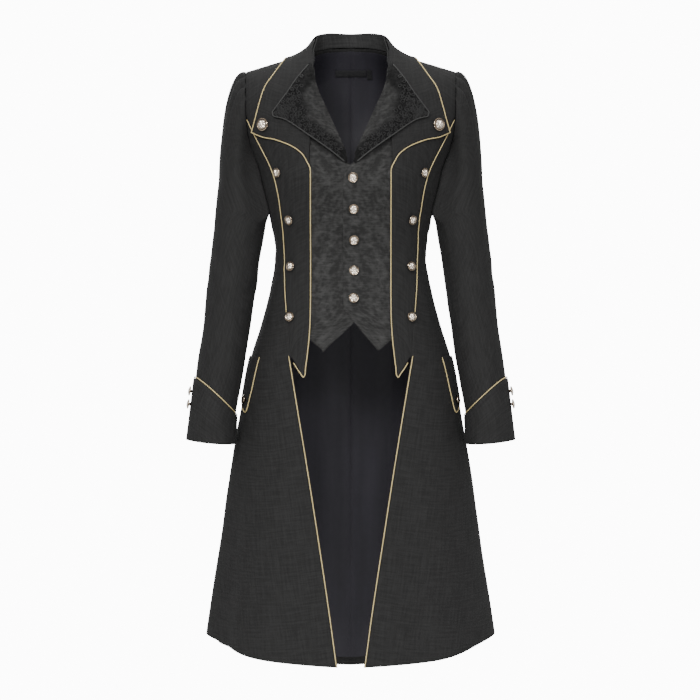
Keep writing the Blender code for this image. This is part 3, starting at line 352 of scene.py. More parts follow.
# Stage
FLOOR_DROP, FLOOR_RADIUS, FLOOR_SIDES, FLOOR_WHITE = 1.4, 2.0, 96, (0.85, 0.85, 0.85, 1)
WORLD_STRENGTH, SEEN_STRENGTH = 0.85, 12.0
SKY_RANGE = (-0.6, 0.8, 0.18, 1.35)
LIGHTS = (
    ("key", (-1.0, -3.0, 1.2), (0, 0, -0.4), (0.8, 0.8), 86),
    ("front", (0.4, -3.4, 1.0), (0, 0, -0.4), (0.6, 0.6), 50),
    ("fill", (1.6, -3.2, 0.2), (0, 0, -0.5), (1.4, 1.4), 18),
    ("top", (0, 0.4, 1.9), (0, 0, -0.3), (1.4, 1.4), 25),
    ("low", (0.1, -2.8, -1.2), (0, 0.2, -0.4), (0.8, 0.3), 16),
    ("back", (-0.8, 3.2, 0.8), (0, 0, -0.5), (1.6, 1.6), 60),
)
SENSOR_WIDTH, CAMERA_DISTANCE, VIEW_WIDTH, SEEN_DISTANCE = 36.0, 4.5, 1.204, 50
CAMERA_X, CAMERA_DROP = -0.0012, 0.5126


# Smooth curves through short tables

def spline(knots, values, at):
    """Cubic curve through the knots, each slope taken from its neighbours."""
    last = len(knots) - 1
    at = min(max(at, knots[0]), knots[last])
    i = 0
    while i < last - 1 and at > knots[i + 1]:
        i += 1

    def slope(k):
        a, b = max(k - 1, 0), min(k + 1, last)
        return (values[b] - values[a]) / (knots[b] - knots[a])

    span = knots[i + 1] - knots[i]
    t = (at - knots[i]) / span
    rise = values[i + 1] - values[i]
    m0, m1 = slope(i) * span, slope(i + 1) * span
    return values[i] + t * m0 + t * t * (3 * rise - 2 * m0 - m1) + t * t * t * (m0 + m1 - 2 * rise)


def follow(table, at, column=1):
    """Value of a table's column at a value of its first column."""
    return spline([row[0] for row in table], [row[column] for row in table], at)


def refine(stations, steps):
    """Stations with smooth ones between them."""
    knots = list(range(len(stations)))
    places = [i / steps for i in range((len(stations) - 1) * steps + 1)]
    return [tuple(spline(knots, column, t) for column in zip(*stations)) for t in places]


def mix(a, b, t):
    return a + (b - a) * t


def ease(t):
    t = min(max(t, 0.0), 1.0)
    return t * t * (3 - 2 * t)


def turns_round(count):
    return [tau * i / count for i in range(count)]


def across(first, last, columns):
    return [mix(first, last, i / columns) for i in range(columns + 1)]


def finer(values, step):
    """Values with even ones between them, no further apart than a step."""
    out = [values[0]]
    for a, b in zip(values, values[1:]):
        cuts = max(1, round(abs(b - a) / step))
        out += [mix(a, b, i / cuts) for i in range(1, cuts + 1)]
    return out


# The skin: the outer face of the coat's body

def ridge_drop(x):
    """Drop of the shoulder line, which climbs up the neck inside the neck points."""
    beyond = abs(x) - NECK_HALF_WIDTH
    return NECK_POINT_DROP + beyond * (SHOULDER_SLOPE if beyond > 0 else NECK_RISE_SLOPE)


def skin_point(angle, drop):
    """Point at an angle from the front round to the back, in degrees, and a drop."""
    half_width, front, back = (follow(BODY, drop, i) for i in (1, 2, 3))
    turn = radians(angle)
    sideways, ahead = sin(turn), cos(turn)
    x = half_width * abs(sideways) ** ROUNDNESS * (1 if sideways >= 0 else -1)
    reach = abs(ahead) ** ROUNDNESS
    roll = min(max((drop - ridge_drop(x)) / SHOULDER_ROLL, 0.0), 1.0)
    cap = sqrt(1 - (1 - roll) ** 2)
    if ahead > 0:
        cup = exp(-((abs(x) - CUP_X) / CUP_REACH) ** 2 - ((drop - CUP_DROP) / CUP_REACH) ** 2)
        y = -(front + CUP_HEIGHT * cup) * reach * cap
    else:
        y = back * reach * cap
    flow = max(drop - FLUTE_START, 0.0) / (SIDE_HEM_DROP - FLUTE_START)
    swell = 1 + FLUTE_HEIGHT / half_width * flow * cos(FLUTE_COUNT * turn)
    return Vector((x * swell, y * swell, -drop))


def shoulder_field(x, y, drop):
    """Field that is level on the rounded shoulder and grows outward from it."""
    front, back = follow(BODY, drop, 2), follow(BODY, drop, 3)
    share = (abs(x) / follow(BODY, drop)) ** (2 / ROUNDNESS)
    depth = (front if y < 0 else back) * max(1 - share, TINY) ** (ROUNDNESS / 2)
    return (y / depth) ** 2 + (1 - (drop - ridge_drop(x)) / SHOULDER_ROLL) ** 2


def skin_normal(angle, drop):
    x, y, _ = skin_point(angle, drop)
    if drop - ridge_drop(x) < SHOULDER_ROLL / 2:
        step = FINE_STEP
        return Vector((
            shoulder_field(x + step, y, drop) - shoulder_field(x - step, y, drop),
            shoulder_field(x, y + step, drop) - shoulder_field(x, y - step, drop),
            shoulder_field(x, y, drop - step) - shoulder_field(x, y, drop + step),
        )).normalized()
    around = skin_point(angle + STEP, drop) - skin_point(angle - STEP, drop)
    down = skin_point(angle, drop + STEP) - skin_point(angle, drop - STEP)
    return down.cross(around).normalized()


def rumple(angle, drop, side):
    """How far the cloth stands off its even form, in soft folds that run on across the seams."""
    turn = radians(side * angle)
    x, y = BODY_REACH * sin(turn), BODY_REACH * cos(turn)
    lift = UNEVEN_HEIGHT * noise.noise(Vector((x, y, drop)) / UNEVEN_SIZE)
    fall = ease((drop - FOLD_START) / FOLD_GROWTH)
    if fall > 0:
        place = Vector((x / FOLD_WIDTH, y / FOLD_WIDTH, drop / FOLD_LENGTH))
        lift += FOLD_HEIGHT * fall * (noise.noise(place) - FOLD_SET_IN)
    sideways = ease((abs(angle) - CREASE_START_ANGLE) / CREASE_SPREAD)
    crease = sideways * exp(-((drop - CREASE_DROP) / CREASE_REACH) ** 2)
    if crease > SLIGHT:
        place = Vector((x / CREASE_WIDTH, y / CREASE_WIDTH, (drop + CREASE_SLANT * y) / CREASE_PITCH))
        lift += CREASE_HEIGHT * crease * noise.noise(place)
    return lift


def skin(angle, drop, lift=0.0, side=1):
    return skin_point(angle, drop) + skin_normal(angle, drop) * (lift + rumple(angle, drop, side))


def front_angle(x, drop):
    """Angle of the skin at a distance from the centre, on the front."""
    share = min(abs(x) / follow(BODY, drop), 1.0)
    angle = degrees(asin(share ** (1 / ROUNDNESS)))
    return angle if x >= 0 else -angle


def back_angle(x, drop):
    return 180 - front_angle(x, drop)


def front_skin(x, drop, lift=0.0, side=1):
    return skin(front_angle(x, drop), drop, lift, side)


def front_normal(x, drop):
    return skin_normal(front_angle(x, drop), drop)


def grids(places, depths, point):
    """A grid of points for each depth, one point for each place of a table of rows."""
    return [[[point(*place, depth) for place in row] for row in places] for depth in depths]


# Materials

class Nodes:
    """Short calls that add linked nodes to a material's tree."""

    def __init__(self, name):
        self.material = bpy.data.materials.new(name)
        self.material.use_nodes = True
        self.tree = self.material.node_tree
        self.shader = self.tree.nodes["Principled BSDF"]
        self.uv = self.add("ShaderNodeTexCoord").outputs["UV"]
        self.place = self.tree.nodes[-1].outputs["Object"]

    def add(self, kind, inputs=None, **settings):
        made = self.tree.nodes.new(kind)
        for key, value in settings.items():
            setattr(made, key, value)
        for key, value in (inputs or {}).items():
            self.feed(made.inputs[key], value)
        return made

    def feed(self, socket, value):
        if isinstance(value, bpy.types.NodeSocket):
            self.tree.links.new(value, socket)
        else:
            socket.default_value = value

    def set(self, **values):
        for key, value in values.items():
            self.feed(self.shader.inputs[key.replace("_", " ")], value)

    def noise(self, source, scale, detail):
        made = self.add("ShaderNodeTexNoise", {"Vector": source, "Scale": scale, "Detail": detail})
        return made.outputs["Fac"]

    def yarns(self, source, scale, detail):
        """Noise drawn out by a scale for each direction."""
        made = self.add("ShaderNodeMapping", {"Vector": source, "Scale": scale})
        return self.noise(made.outputs["Vector"], 1.0, detail)

    def ribs(self, turn, scale, distortion):
        """Fine ribs at an angle across the cloth."""
        ways = self.add("ShaderNodeMapping", {"Vector": self.uv, "Rotation": (0, 0, radians(turn))})
        made = self.add("ShaderNodeTexWave", {"Vector": ways.outputs["Vector"], "Scale": scale,
                                              "Distortion": distortion, "Detail Scale": WAVE_DETAIL})
        return made.outputs["Fac"]

    def ramp(self, value, *stops):
        made = self.add("ShaderNodeValToRGB", {"Fac": value})
        band = made.color_ramp.elements
        while len(band) < len(stops):
            band.new(0.5)
        for element, (position, colour) in zip(band, stops):
            element.position = position
            element.color = (*colour, 1) if isinstance(colour, tuple) else (colour, colour, colour, 1)
        return made.outputs["Color"]

    def span(self, value, low, high, first=0.0, last=1.0):
        """The value, from first to last, spread between two numbers."""
        made = self.add("ShaderNodeMapRange", {"Value": value, "From Min": first, "From Max": last,
                                               "To Min": low, "To Max": high})
        return made.outputs["Result"]

    def blend(self, share, first, second, mode="MIX"):
        made = self.add("ShaderNodeMix", {0: share}, data_type="RGBA", blend_type=mode)
        self.feed(made.inputs[6], first)
        self.feed(made.inputs[7], second)
        return made.outputs[2]

    def sum(self, first, second, weight):
        made = self.add("ShaderNodeMath", {0: second, 1: weight, 2: first}, operation="MULTIPLY_ADD")
        return made.outputs[0]

    def bump(self, height, distance, strength):
        made = self.add("ShaderNodeBump", {"Height": height, "Distance": distance, "Strength": strength})
        return made.outputs["Normal"]


def twill_material(name, dark, light):
    """Suiting: a fine diagonal weave with thicker yarns here and there."""
    n = Nodes(name)
    slubs = n.yarns(n.uv, TWILL_SLUBS, 3.0)
    cross = n.yarns(n.uv, TWILL_CROSS, 3.0)
    weave = n.ribs(TWILL_TURN, TWILL_RIBS, 0.6)
    cloud = n.noise(n.place, 9.0, 3.0)
    yarn = n.sum(n.sum(slubs, cross, 1.0), weave, 0.2)
    shade = n.ramp(n.span(yarn, 0, 1, *YARN_RANGE), (0.2, dark), (0.8, light))
    n.set(Base_Color=n.blend(n.span(cloud, 0.0, 0.5), shade, TWILL_CLOUD, "SOFT_LIGHT"))
    n.set(Roughness=n.span(slubs, 0.7, 0.9), Normal=n.bump(yarn, TWILL_RELIEF, 0.6))
    n.set(Sheen_Weight=0.02, Sheen_Roughness=0.45, Specular_IOR_Level=0.06)
    return n.material


def figured(name, cell, dark, light, rough, worked=None):
    """A napped cloth of one colour: small curling figures in a mottled ground with fine yarns. Its ground
    is darker where it is worked with thread."""
    n = Nodes(name)
    cloud = n.add("ShaderNodeTexNoise", {"Vector": n.uv, "Scale": cell, "Detail": 8.0, "Roughness": 0.75,
                                         "Distortion": 0.4}).outputs["Fac"]
    streaks = n.yarns(n.place, NAP_YARNS, 4.0)
    figures = n.add("ShaderNodeTexVoronoi", {"Vector": n.uv, "Scale": 4 * cell, "Randomness": 0.9},
                    feature="SMOOTH_F1").outputs["Distance"]
    mottle = n.sum(n.sum(cloud, streaks, 0.45), figures, 0.35)
    share = n.span(mottle, 0, 1, *MOTTLE_RANGE)
    shade = n.ramp(share, (0.1, dark), (0.9, light))
    if worked:
        near = n.add("ShaderNodeAttribute", attribute_name="worked").outputs["Fac"]
        shade = n.blend(near, shade, n.ramp(share, (0.1, worked[0]), (0.9, worked[1])))
    n.set(Base_Color=shade)
    n.set(Roughness=n.span(mottle, *rough, *MOTTLE_RANGE), Normal=n.bump(mottle, NAP_RELIEF, 0.8))
    n.set(Sheen_Weight=0.01, Sheen_Roughness=0.4, Specular_IOR_Level=0.07)
    return n.material


def thread_material(name, dark, light):
    """Twisted embroidery thread of the lapel's own colour."""
    n = Nodes(name)
    twist = n.ribs(THREAD_TURN, THREAD_TWIST, 0.3)
    shade = n.ramp(twist, (0.2, dark), (0.8, light))
    n.set(Base_Color=shade, Roughness=n.span(twist, 0.42, 0.55), Normal=n.bump(twist, THREAD_RELIEF, 0.5))
    n.set(Specular_IOR_Level=0.12)
    return n.material


def satin_material():
    """Lining satin, smooth along the warp."""
    n = Nodes("lining_satin")
    streaks = n.yarns(n.uv, SATIN_STREAKS, 3.0)
    warp = n.yarns(n.uv, SATIN_WARP, 2.0)
    shade = n.ramp(streaks, (0.25, SATIN_DARK), (0.8, SATIN_LIGHT))
    n.set(Base_Color=shade, Roughness=n.span(warp, 0.46, 0.6), Normal=n.bump(warp, SATIN_RELIEF, 0.3))
    n.set(Sheen_Weight=0.01, Sheen_Roughness=0.3, Specular_IOR_Level=0.15)
    return n.material


def label_material():
    n = Nodes("label_tape")
    rib = n.ribs(0, TAPE_RIBS, 0.2)
    grain = n.noise(n.uv, 400, 2.0)
    n.set(Base_Color=n.ramp(n.sum(rib, grain, 0.5), (0.3, TAPE_DARK), (0.9, TAPE_LIGHT)))
    n.set(Roughness=n.span(grain, 0.45, 0.6), Normal=n.bump(rib, TAPE_RELIEF, 0.6))
    return n.material


def piping_material():
    """Pale gold satin bias tape over a cord, its grain running round at a slant."""
    n = Nodes("gold_piping")
    grain = n.ribs(PIPING_TURN, PIPING_RIBS, 0.8)
    wear = n.noise(n.place, 60, 3.0)
    shade = n.ramp(grain, (0.15, GOLD_DARK), (0.7, GOLD_LIGHT))
    n.set(Base_Color=n.blend(n.span(wear, 0.0, 0.45), shade, GOLD_WORN), Specular_IOR_Level=0.3)
    n.set(Roughness=n.span(wear, 0.38, 0.55), Normal=n.bump(grain, PIPING_RELIEF, 0.6))
    return n.material


def metal_material():
    """Champagne metal, brown where the relief is low: tarnish in the hollows and painted shade in the
    grooves.
    """
    n = Nodes("champagne_metal")
    height = n.add("ShaderNodeSeparateXYZ", {0: n.uv}).outputs["X"]
    tarnish = n.noise(n.place, 700, 3.0)
    # Low relief takes the dark tones: tarnish and painted shade in the hollows
    low = n.sum(n.span(height, 0, 1, *RELIEF_RANGE), tarnish, 0.2)
    n.set(Base_Color=n.ramp(low, (0.28, METAL_TARNISH_AND_SHADE), (0.5, METAL_DARK), (0.78, METAL_LIGHT)), Metallic=1.0)
    n.set(Roughness=n.span(tarnish, 0.14, 0.3), Normal=n.bump(tarnish, METAL_RELIEF, 0.4))
    return n.material


# Meshes

def transposed(grid):
    return [list(line) for line in zip(*grid)]


def split_ends(outer, inner):
    """Matching rows of points with a point added a little inside each end, for a turned edge."""
    split = ([], [])
    for far, near in zip(outer, inner):
        first = RIM_REACH / max((far[1] - far[0]).length, 2 * RIM_REACH)
        last = RIM_REACH / max((far[-2] - far[-1]).length, 2 * RIM_REACH)
        for line, rows in zip((far, near), split):
            start = line[0].lerp(line[1], first)
            end = line[-1].lerp(line[-2], last)
            rows.append([line[0], start, *line[1:-1], end, line[-1]])
    return split


def turned(outer, inner, ring):
    """The two faces of a cloth with its cut edges turned in and softly rounded."""
    if not ring:
        outer, inner = split_ends(outer, inner)
    outer, inner = split_ends(transposed(outer), transposed(inner))
    outer, inner = transposed(outer), transposed(inner)
    last_row, last_column = len(outer) - 1, len(outer[0]) - 1
    for r, (far, near) in enumerate(zip(outer, inner)):
        for c, (a, b) in enumerate(zip(far, near)):
            if r in (0, last_row) or (not ring and c in (0, last_column)):
                far[c], near[c] = a.lerp(b, RIM_SHARE), b.lerp(a, RIM_SHARE)
    return outer, inner


def run(points):
    """Distances along a line of points."""
    out = [0.0]
    for a, b in zip(points, points[1:]):
        out.append(out[-1] + (b - a).length)
    return out


def add_mesh(name, points, faces, corners, slots, materials, side=1, crease=50):
    """A piece made of faces, with the place on the cloth of each corner, riding on the coat."""
    mesh = bpy.data.meshes.new(name)
    mesh.from_pydata([(side * p.x * MM, p.y * MM, p.z * MM) for p in points], [], faces)
    layer = mesh.uv_layers.new(name="UVMap")
    layer.data.foreach_set("uv", [value * MM for face in corners for corner in face for value in corner])
    for made in materials:
        mesh.materials.append(made)
    if slots:
        mesh.polygons.foreach_set("material_index", slots)
    shell = bmesh.new()
    shell.from_mesh(mesh)
    bmesh.ops.recalc_face_normals(shell, faces=shell.faces)
    shell.to_mesh(mesh)
    shell.free()
    mesh.shade_smooth()
    mesh.set_sharp_from_angle(angle=radians(crease))
    piece = bpy.data.objects.new(name, mesh)
    bpy.context.scene.collection.objects.link(piece)
    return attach(piece, "root")


def wall(name, outer, inner, materials, side=1, ring=False, lined=None):
    """A cloth between its outer and inner faces. lined is the share of the width where the second
    material starts on the inner face, and the height above the lower edge."""
    outer, inner = turned(outer, inner, ring)
    rows, columns = len(outer), len(outer[0])
    spans = columns if ring else columns - 1
    u = [run(row + row[:1] if ring else row) for row in outer]
    v = transposed([run(column) for column in transposed(outer)])
    points = [p for grid in (outer, inner) for row in grid for p in row]
    faces, corners, slots = [], [], []

    def add(cells, slot):
        faces.append([grid * rows * columns + r * columns + c % columns for grid, r, c in cells])
        corners.append([(u[r][c], v[r][c % columns]) for _, r, c in cells])
        slots.append(slot)

    for grid in (0, 1):
        for r in range(rows - 1):
            for c in range(spans):
                above = inner[r][c].z - inner[-1][c].z
                slot = 1 if grid and lined and c / spans >= lined[0] and above >= lined[1] else 0
                add([(grid, r, c), (grid, r, c + 1), (grid, r + 1, c + 1), (grid, r + 1, c)], slot)
    for r in (0, rows - 1):
        for c in range(spans):
            add([(0, r, c), (0, r, c + 1), (1, r, c + 1), (1, r, c)], 0)
    if not ring:
        for c in (0, columns - 1):
            for r in range(rows - 1):
                add([(0, r, c), (0, r + 1, c), (1, r + 1, c), (1, r, c)], 0)
    return add_mesh(name, points, faces, corners, slots, materials, side)


def cut_size(grid, ring):
    """Width, length and area of the flat cut of a face, in metres."""
    closed = [row + row[:1] for row in grid] if ring else grid
    width = max(run(row)[-1] for row in closed)
    length = max(run(column)[-1] for column in transposed(closed))
    area = 0.0
    for upper, lower in zip(closed, closed[1:]):
        for a, b, c, d in zip(upper, upper[1:], lower[1:], lower):
            area += ((b - a).cross(d - a).length + (b - c).cross(d - c).length) / 2
    return width * MM, length * MM, min(area * MM * MM, width * length * MM * MM)


def stand_for(node, piece):
    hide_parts(node)
    return piece


def cloth(node, outer, inner, materials, held, side=1, ring=False, lined=None):
    """The piece that stands for a cloth node of the frame. Where it is held, the size of its cut is worked
    out.
    """
    piece = stand_for(node, wall(f"{node}_cloth", outer, inner, materials, side, ring, lined))
    if held:
        width, length, area = cut_size(outer, ring)
    return piece


def grid_normals(grid, ring=False):
    """Normals of a grid of points, from the points next to each."""
    rows, columns = len(grid), len(grid[0])
    normals = []
    for r in range(rows):
        line = []
        for c in range(columns):
            left, right = (c - 1, c + 1) if ring else (max(c - 1, 0), min(c + 1, columns - 1))
            around = grid[r][right % columns] - grid[r][left % columns]
            down = grid[min(r + 1, rows - 1)][c] - grid[max(r - 1, 0)][c]
            line.append(down.cross(around).normalized())
        normals.append(line)
    return normals


def shifted(grid, normals, distance):
    return [[p + n * distance for p, n in zip(row, line)] for row, line in zip(grid, normals)]


def ring_faces(count, sides, closed=False):
    """Faces between each ring of points and the next one, and on to the first where they are closed."""
    return [[i * sides + k, i * sides + (k + 1) % sides, j * sides + (k + 1) % sides, j * sides + k]
            for i, j in [(i, (i + 1) % count) for i in range(count if closed else count - 1)]
            for k in range(sides)]


def tube(path, radius, sides, closed=False):
    """Points, faces and cloth places of a round cord along a path, its ends drawn in."""
    count = len(path)
    points, along = [], run(path + path[:1] if closed else path)
    facing = None
    for i, p in enumerate(path):
        before = path[i - 1] if closed or i else p
        after = path[(i + 1) % count] if closed or i < count - 1 else p
        ahead = (after - before).normalized()
        guide = facing or (Vector((0, -1, 0)) if abs(ahead.y) < LEVEL_LIMIT else Vector((1, 0, 0)))
        facing = (guide - ahead * guide.dot(ahead)).normalized()
        sideways = ahead.cross(facing)
        size = radius if closed or 0 < i < count - 1 else radius * CORD_END
        points += [p + (facing * cos(turn) + sideways * sin(turn)) * size for turn in turns_round(sides)]
    width = tau * radius / sides
    faces = ring_faces(count, sides, closed)
    corners = [[(k * width, a), ((k + 1) * width, a), ((k + 1) * width, b), (k * width, b)]
               for a, b in zip(along, along[1:]) for k in range(sides)]
    if not closed:
        for first, end in ((0, along[0]), ((count - 1) * sides, along[-1])):
            faces.append(list(range(first, first + sides)))
            corners.append([(0, end)] * sides)
    return points, faces, corners


def cords(name, paths, radius, finish, side):
    """Several threads as one piece."""
    points, faces, corners = [], [], []
    for path in paths:
        more, cells, places = tube(path, radius, THREAD_SIDES)
        base = len(points)
        points += more
        faces += [[base + i for i in cell] for cell in cells]
        corners += places
    return add_mesh(name, points, faces, corners, None, [finish], side)


def piping(node, path, side, closed=False, shown=PIPING_SHOWN):
    """The covered cord that stands for a piping node."""
    points, faces, corners = tube(path, shown, PIPING_SIDES, closed)
    stand_for(node, add_mesh(f"{node}_cord", points, faces, corners, None, [PIPING], side))


def beside(path, normals, lift, outward):
    """A path moved off its skin by a lift, and sideways away from the cloth's edge, mitred at corners."""
    moved = []
    last = len(path) - 1
    for i, (p, n) in enumerate(zip(path, normals)):
        ahead = (path[min(i + 1, last)] - path[min(i, last - 1)]).normalized()
        behind = (path[max(i, 1)] - path[max(i - 1, 0)]).normalized()
        along = (ahead + behind).normalized()
        mitre = 1 / max(along.dot(ahead), MITRE_LIMIT)
        moved.append(p + n * lift + along.cross(n).normalized() * outward * mitre)
    return moved


# Body panels

def seam_distance(seam, drop):
    """Distance of a seam from the centre, straight between the two rows where it leaves the armhole."""
    first, second = PRINCESS_DROP, ARMHOLE_ROWS[0]
    if drop < second:
        return mix(follow(seam, first), follow(seam, second), (drop - first) / (second - first))
    return follow(seam, drop)


def head_row(w, columns):
    """A row of the centre front between the shoulder seam and the drop where the side panels start."""
    near_drop = mix(NECK_POINT_DROP, PRINCESS_DROP, w)
    far_drop = mix(SHOULDER_DROP, PRINCESS_DROP, w)
    row = []
    for share in across(0, 1, columns):
        x = mix(follow(ROLL_LINE, near_drop), follow(ARMHOLE, far_drop), share)
        top = ridge_drop(x) if x >= NECK_HALF_WIDTH else mix(NECK_POINT_DROP, SHOULDER_DROP, share)
        drop = mix(top, PRINCESS_DROP, w)
        row.append((front_angle(x, drop), drop))
    return row


def level_row(drop, first, last, columns):
    return [(angle, drop) for angle in across(first, last, columns)]


def centre_front_rows():
    rows = [head_row(w, CENTRE_COLUMNS) for w in finer(HEAD_ROWS, HEAD_STEP)]
    spans = [(drop, follow(ROLL_LINE if drop < BREAK_DROP else FRONT_EDGE, drop),
              seam_distance(PRINCESS_SEAM, drop))
             for drop in finer((PRINCESS_DROP,) + ARMHOLE_ROWS + WAIST_ROWS, PANEL_CELL)[1:]]
    spans += [(drop, follow(TAB_INNER_EDGE, drop), follow(TAB_OUTER_EDGE, drop))
              for drop in finer((POCKET_DROP,) + TAB_ROWS, PANEL_CELL / 2)[1:]]
    return rows + [level_row(drop, front_angle(inner, drop), front_angle(outer, drop), CENTRE_COLUMNS)
                   for drop, inner, outer in spans]


def hem_grid(first, last, shares, edge_table=None, hem_rise=0.0):
    """The rows between the last level one and the hem; an edge table moves the first column."""
    rows = []
    for w in finer(HEM_ROWS, HEM_STEP)[1:]:
        row = []
        for share in shares:
            angle = mix(first, last, share)
            drop = mix(HEM_START, follow(HEM, angle) - hem_rise, w)
            if edge_table:
                angle = mix(front_angle(follow(edge_table, drop), drop), last, share)
            row.append((angle, drop))
        rows.append(row)
    return rows


def side_rows(seam, angle_of, skirt_seam):
    """Rows of a side panel, from its narrow top at the armhole down to the hem."""
    rows = []
    start = seam_distance(seam, SIDE_START_DROP) + 2 * SEAM_GAP
    for drop in finer((SIDE_START_DROP,) + ARMHOLE_ROWS + WAIST_ROWS + SKIRT_ROWS, PANEL_CELL):
        table = seam if drop <= POCKET_DROP else skirt_seam
        x = start if drop == SIDE_START_DROP else seam_distance(table, drop)
        outer = angle_of(seam_distance(ARMHOLE, drop), drop) if drop <= UNDERARM_DROP else 90
        rows.append(level_row(drop, angle_of(x, drop), outer, SIDE_COLUMNS))
    edge = angle_of(follow(skirt_seam, HEM_START), HEM_START)
    edge_table = SKIRT_EDGE if skirt_seam is SKIRT_EDGE else None
    return rows + hem_grid(edge, 90, across(0, 1, SIDE_COLUMNS), edge_table)


def back_rows(start=0.0, hem_rise=0.0):
    shares = finer((0, BACK_CORNER_SHARE, 1), 1 / BACK_COLUMNS)
    rows = [back_head_row(w, shares) for w in finer(HEAD_ROWS, HEAD_STEP) if w >= start]
    for drop in finer((PRINCESS_DROP,) + ARMHOLE_ROWS + WAIST_ROWS + SKIRT_ROWS, PANEL_CELL)[1:]:
        seam = back_angle(seam_distance(BACK_SEAM, drop), drop)
        rows.append([(mix(180, seam, share), drop) for share in shares])
    return rows + hem_grid(180, seam, shares, hem_rise=hem_rise)


def back_head_row(w, shares):
    """A row of the back, from the neck and the shoulder seam down to the side panels' start."""
    row = []
    for share in shares:
        top_x = follow(ARMHOLE, SHOULDER_DROP) * share
        top = follow(BACK_NECK, top_x) if top_x < NECK_HALF_WIDTH else ridge_drop(top_x)
        x = mix(top_x, follow(ARMHOLE, PRINCESS_DROP) * share, w)
        if share == 1:
            x = follow(ARMHOLE, mix(SHOULDER_DROP, PRINCESS_DROP, w))
        drop = mix(top, PRINCESS_DROP, w)
        row.append((back_angle(x, drop), drop))
    return row


def skin_grid(places, lift, side):
    return [[skin(angle, drop, lift, side) for angle, drop in row] for row in places]


def make_panels():
    tables = {
        "centre_front": (centre_front_rows(), ["wing_collar", "back"], None),
        "side_front": (side_rows(PRINCESS_SEAM, front_angle, SKIRT_EDGE), ["centre_front"],
                       (FACING_SHARE, HEM_FACING)),
        "side_back": (side_rows(BACK_SEAM, back_angle, BACK_SEAM), ["back"], (0, HEM_FACING)),
        "back": (back_rows(), ["collar_stand"], None),
    }
    for name, (rows, above, lined) in tables.items():
        for word, side in SIDES:
            outer, inner = (skin_grid(rows, lift, side) for lift in (0, -CLOTH))
            if name in ("back", "side_back"):
                sunk = skin_grid(rows, -SEAM_SINK, side)
                outer = [[low[0], *row[1:-1], low[-1]] for row, low in zip(outer, sunk)]
            rests = [n if n == "collar_stand" else f"{n}_{word}" for n in above]
            cloth(f"{name}_{word}", outer, inner, [TWILL, SATIN], "hung", side, lined=lined)


# Lining and labels

def lining_stands_in(angle, drop, side):
    """How far the loose lining stands in from the back, with its ease pleat at the centre."""
    from_centre = radians(180 - angle) * follow(BODY, drop)
    top = 1 - ease((drop - PLEAT_END) / PLEAT_FADE)
    pleat = mix(SEAM_ROLL, LINING_PLEAT, top) * exp(-((from_centre - PLEAT_PLACE) / PLEAT_REACH) ** 2)
    loose = ease((drop - UNDERARM_DROP) / LINING_LOOSE_REACH)
    place = Vector((side * from_centre / LINING_FOLD_WIDTH, drop / LINING_FOLD_LENGTH, LINING_LAYER))
    return pleat + LINING_FOLD * loose * abs(noise.noise(place)) * ease(from_centre / LINING_FOLD_WIDTH)


def make_lining():
    rows = back_rows(LINING_START, LINING_HEM_RISE)
    lift = -CLOTH - LINING_CLEAR
    for word, side in SIDES:
        outer, inner = grids(rows, (0, LINING), lambda angle, drop, depth: skin(
            angle, drop, lift - depth - lining_stands_in(angle, drop, side), side))
        cloth(f"lining_{word}", outer, inner, [SATIN], "hung", side)
    tab = make_label("size_tab", SIZE_TAB_X, SIZE_TAB_WIDTH, SIZE_TAB_DROP, SIZE_TAB_HEIGHT)
    make_label("neck_label", -LABEL_WIDTH / 2, LABEL_WIDTH, LABEL_DROP, LABEL_HEIGHT, "laid")


def make_label(node, first, width, top, height, held=None):
    """A bare woven label on the lining. The small tab beside it is made the same way."""
    lift = -CLOTH - LINING_CLEAR - LINING - LABEL_CLEAR - LABEL_OVER_PLEAT
    places = [[(back_angle(x, drop), drop) for x in finer((first, first + width), LABEL_CELL)]
              for drop in finer((top, top + height), LABEL_CELL)]
    outer, inner = (skin_grid(places, lift - depth, 1) for depth in (0, LABEL_THICKNESS))
    return cloth(node, outer, inner, [LABEL], held)


# Wing collar and its stand

def wing_row(station, angle_of, side):
    """Outer face of the wing collar at one station, from the roll to the outer edge."""
    neck_x, neck_drop, rise_x, rise_y, rise_up, edge_x, edge_drop, edge_lift = station
    row = []
    for share in across(0, 1, WING_COLUMNS):
        x = mix(neck_x, edge_x, share)
        drop = mix(neck_drop, edge_drop, share)
        lift = mix(WING_REST, edge_lift, share) + FINE_CLOTH
        rise = Vector((rise_x, rise_y, rise_up)) * (1 - share) ** WING_FALL_POWER
        row.append(skin(angle_of(x, drop), drop, lift, side) + rise)
    return row


def wing_stations(parts):
    """Fine stations of the named parts of the collar, each with the side that its angles are on."""
    stations = []
    for table, angle_of in parts:
        fine = refine(table, WING_STEPS)
        stations += [(station, angle_of) for station in fine[1 if stations else 0:]]
    return stations


WING_PARTS = ((WING_BACK, back_angle), (WING_UPPER, front_angle), (WING_LOWER, front_angle))


def wing_grid(side):
    return [wing_row(station, angle_of, side) for station, angle_of in wing_stations(WING_PARTS)]


def wing_normals(grid):
    """Normals of the collar, level with the centre plane where its halves meet at the back."""
    normals = grid_normals(grid)
    normals[0] = [Vector((0, n.y, n.z)).normalized() for n in normals[0]]
    return normals


def make_wing_collar():
    for word, side in SIDES:
        grid = wing_grid(side)
        inner = shifted(grid, wing_normals(grid), -FINE_CLOTH)
        cloth(f"wing_collar_{word}", grid, inner, [TWILL], "folded",
              side)


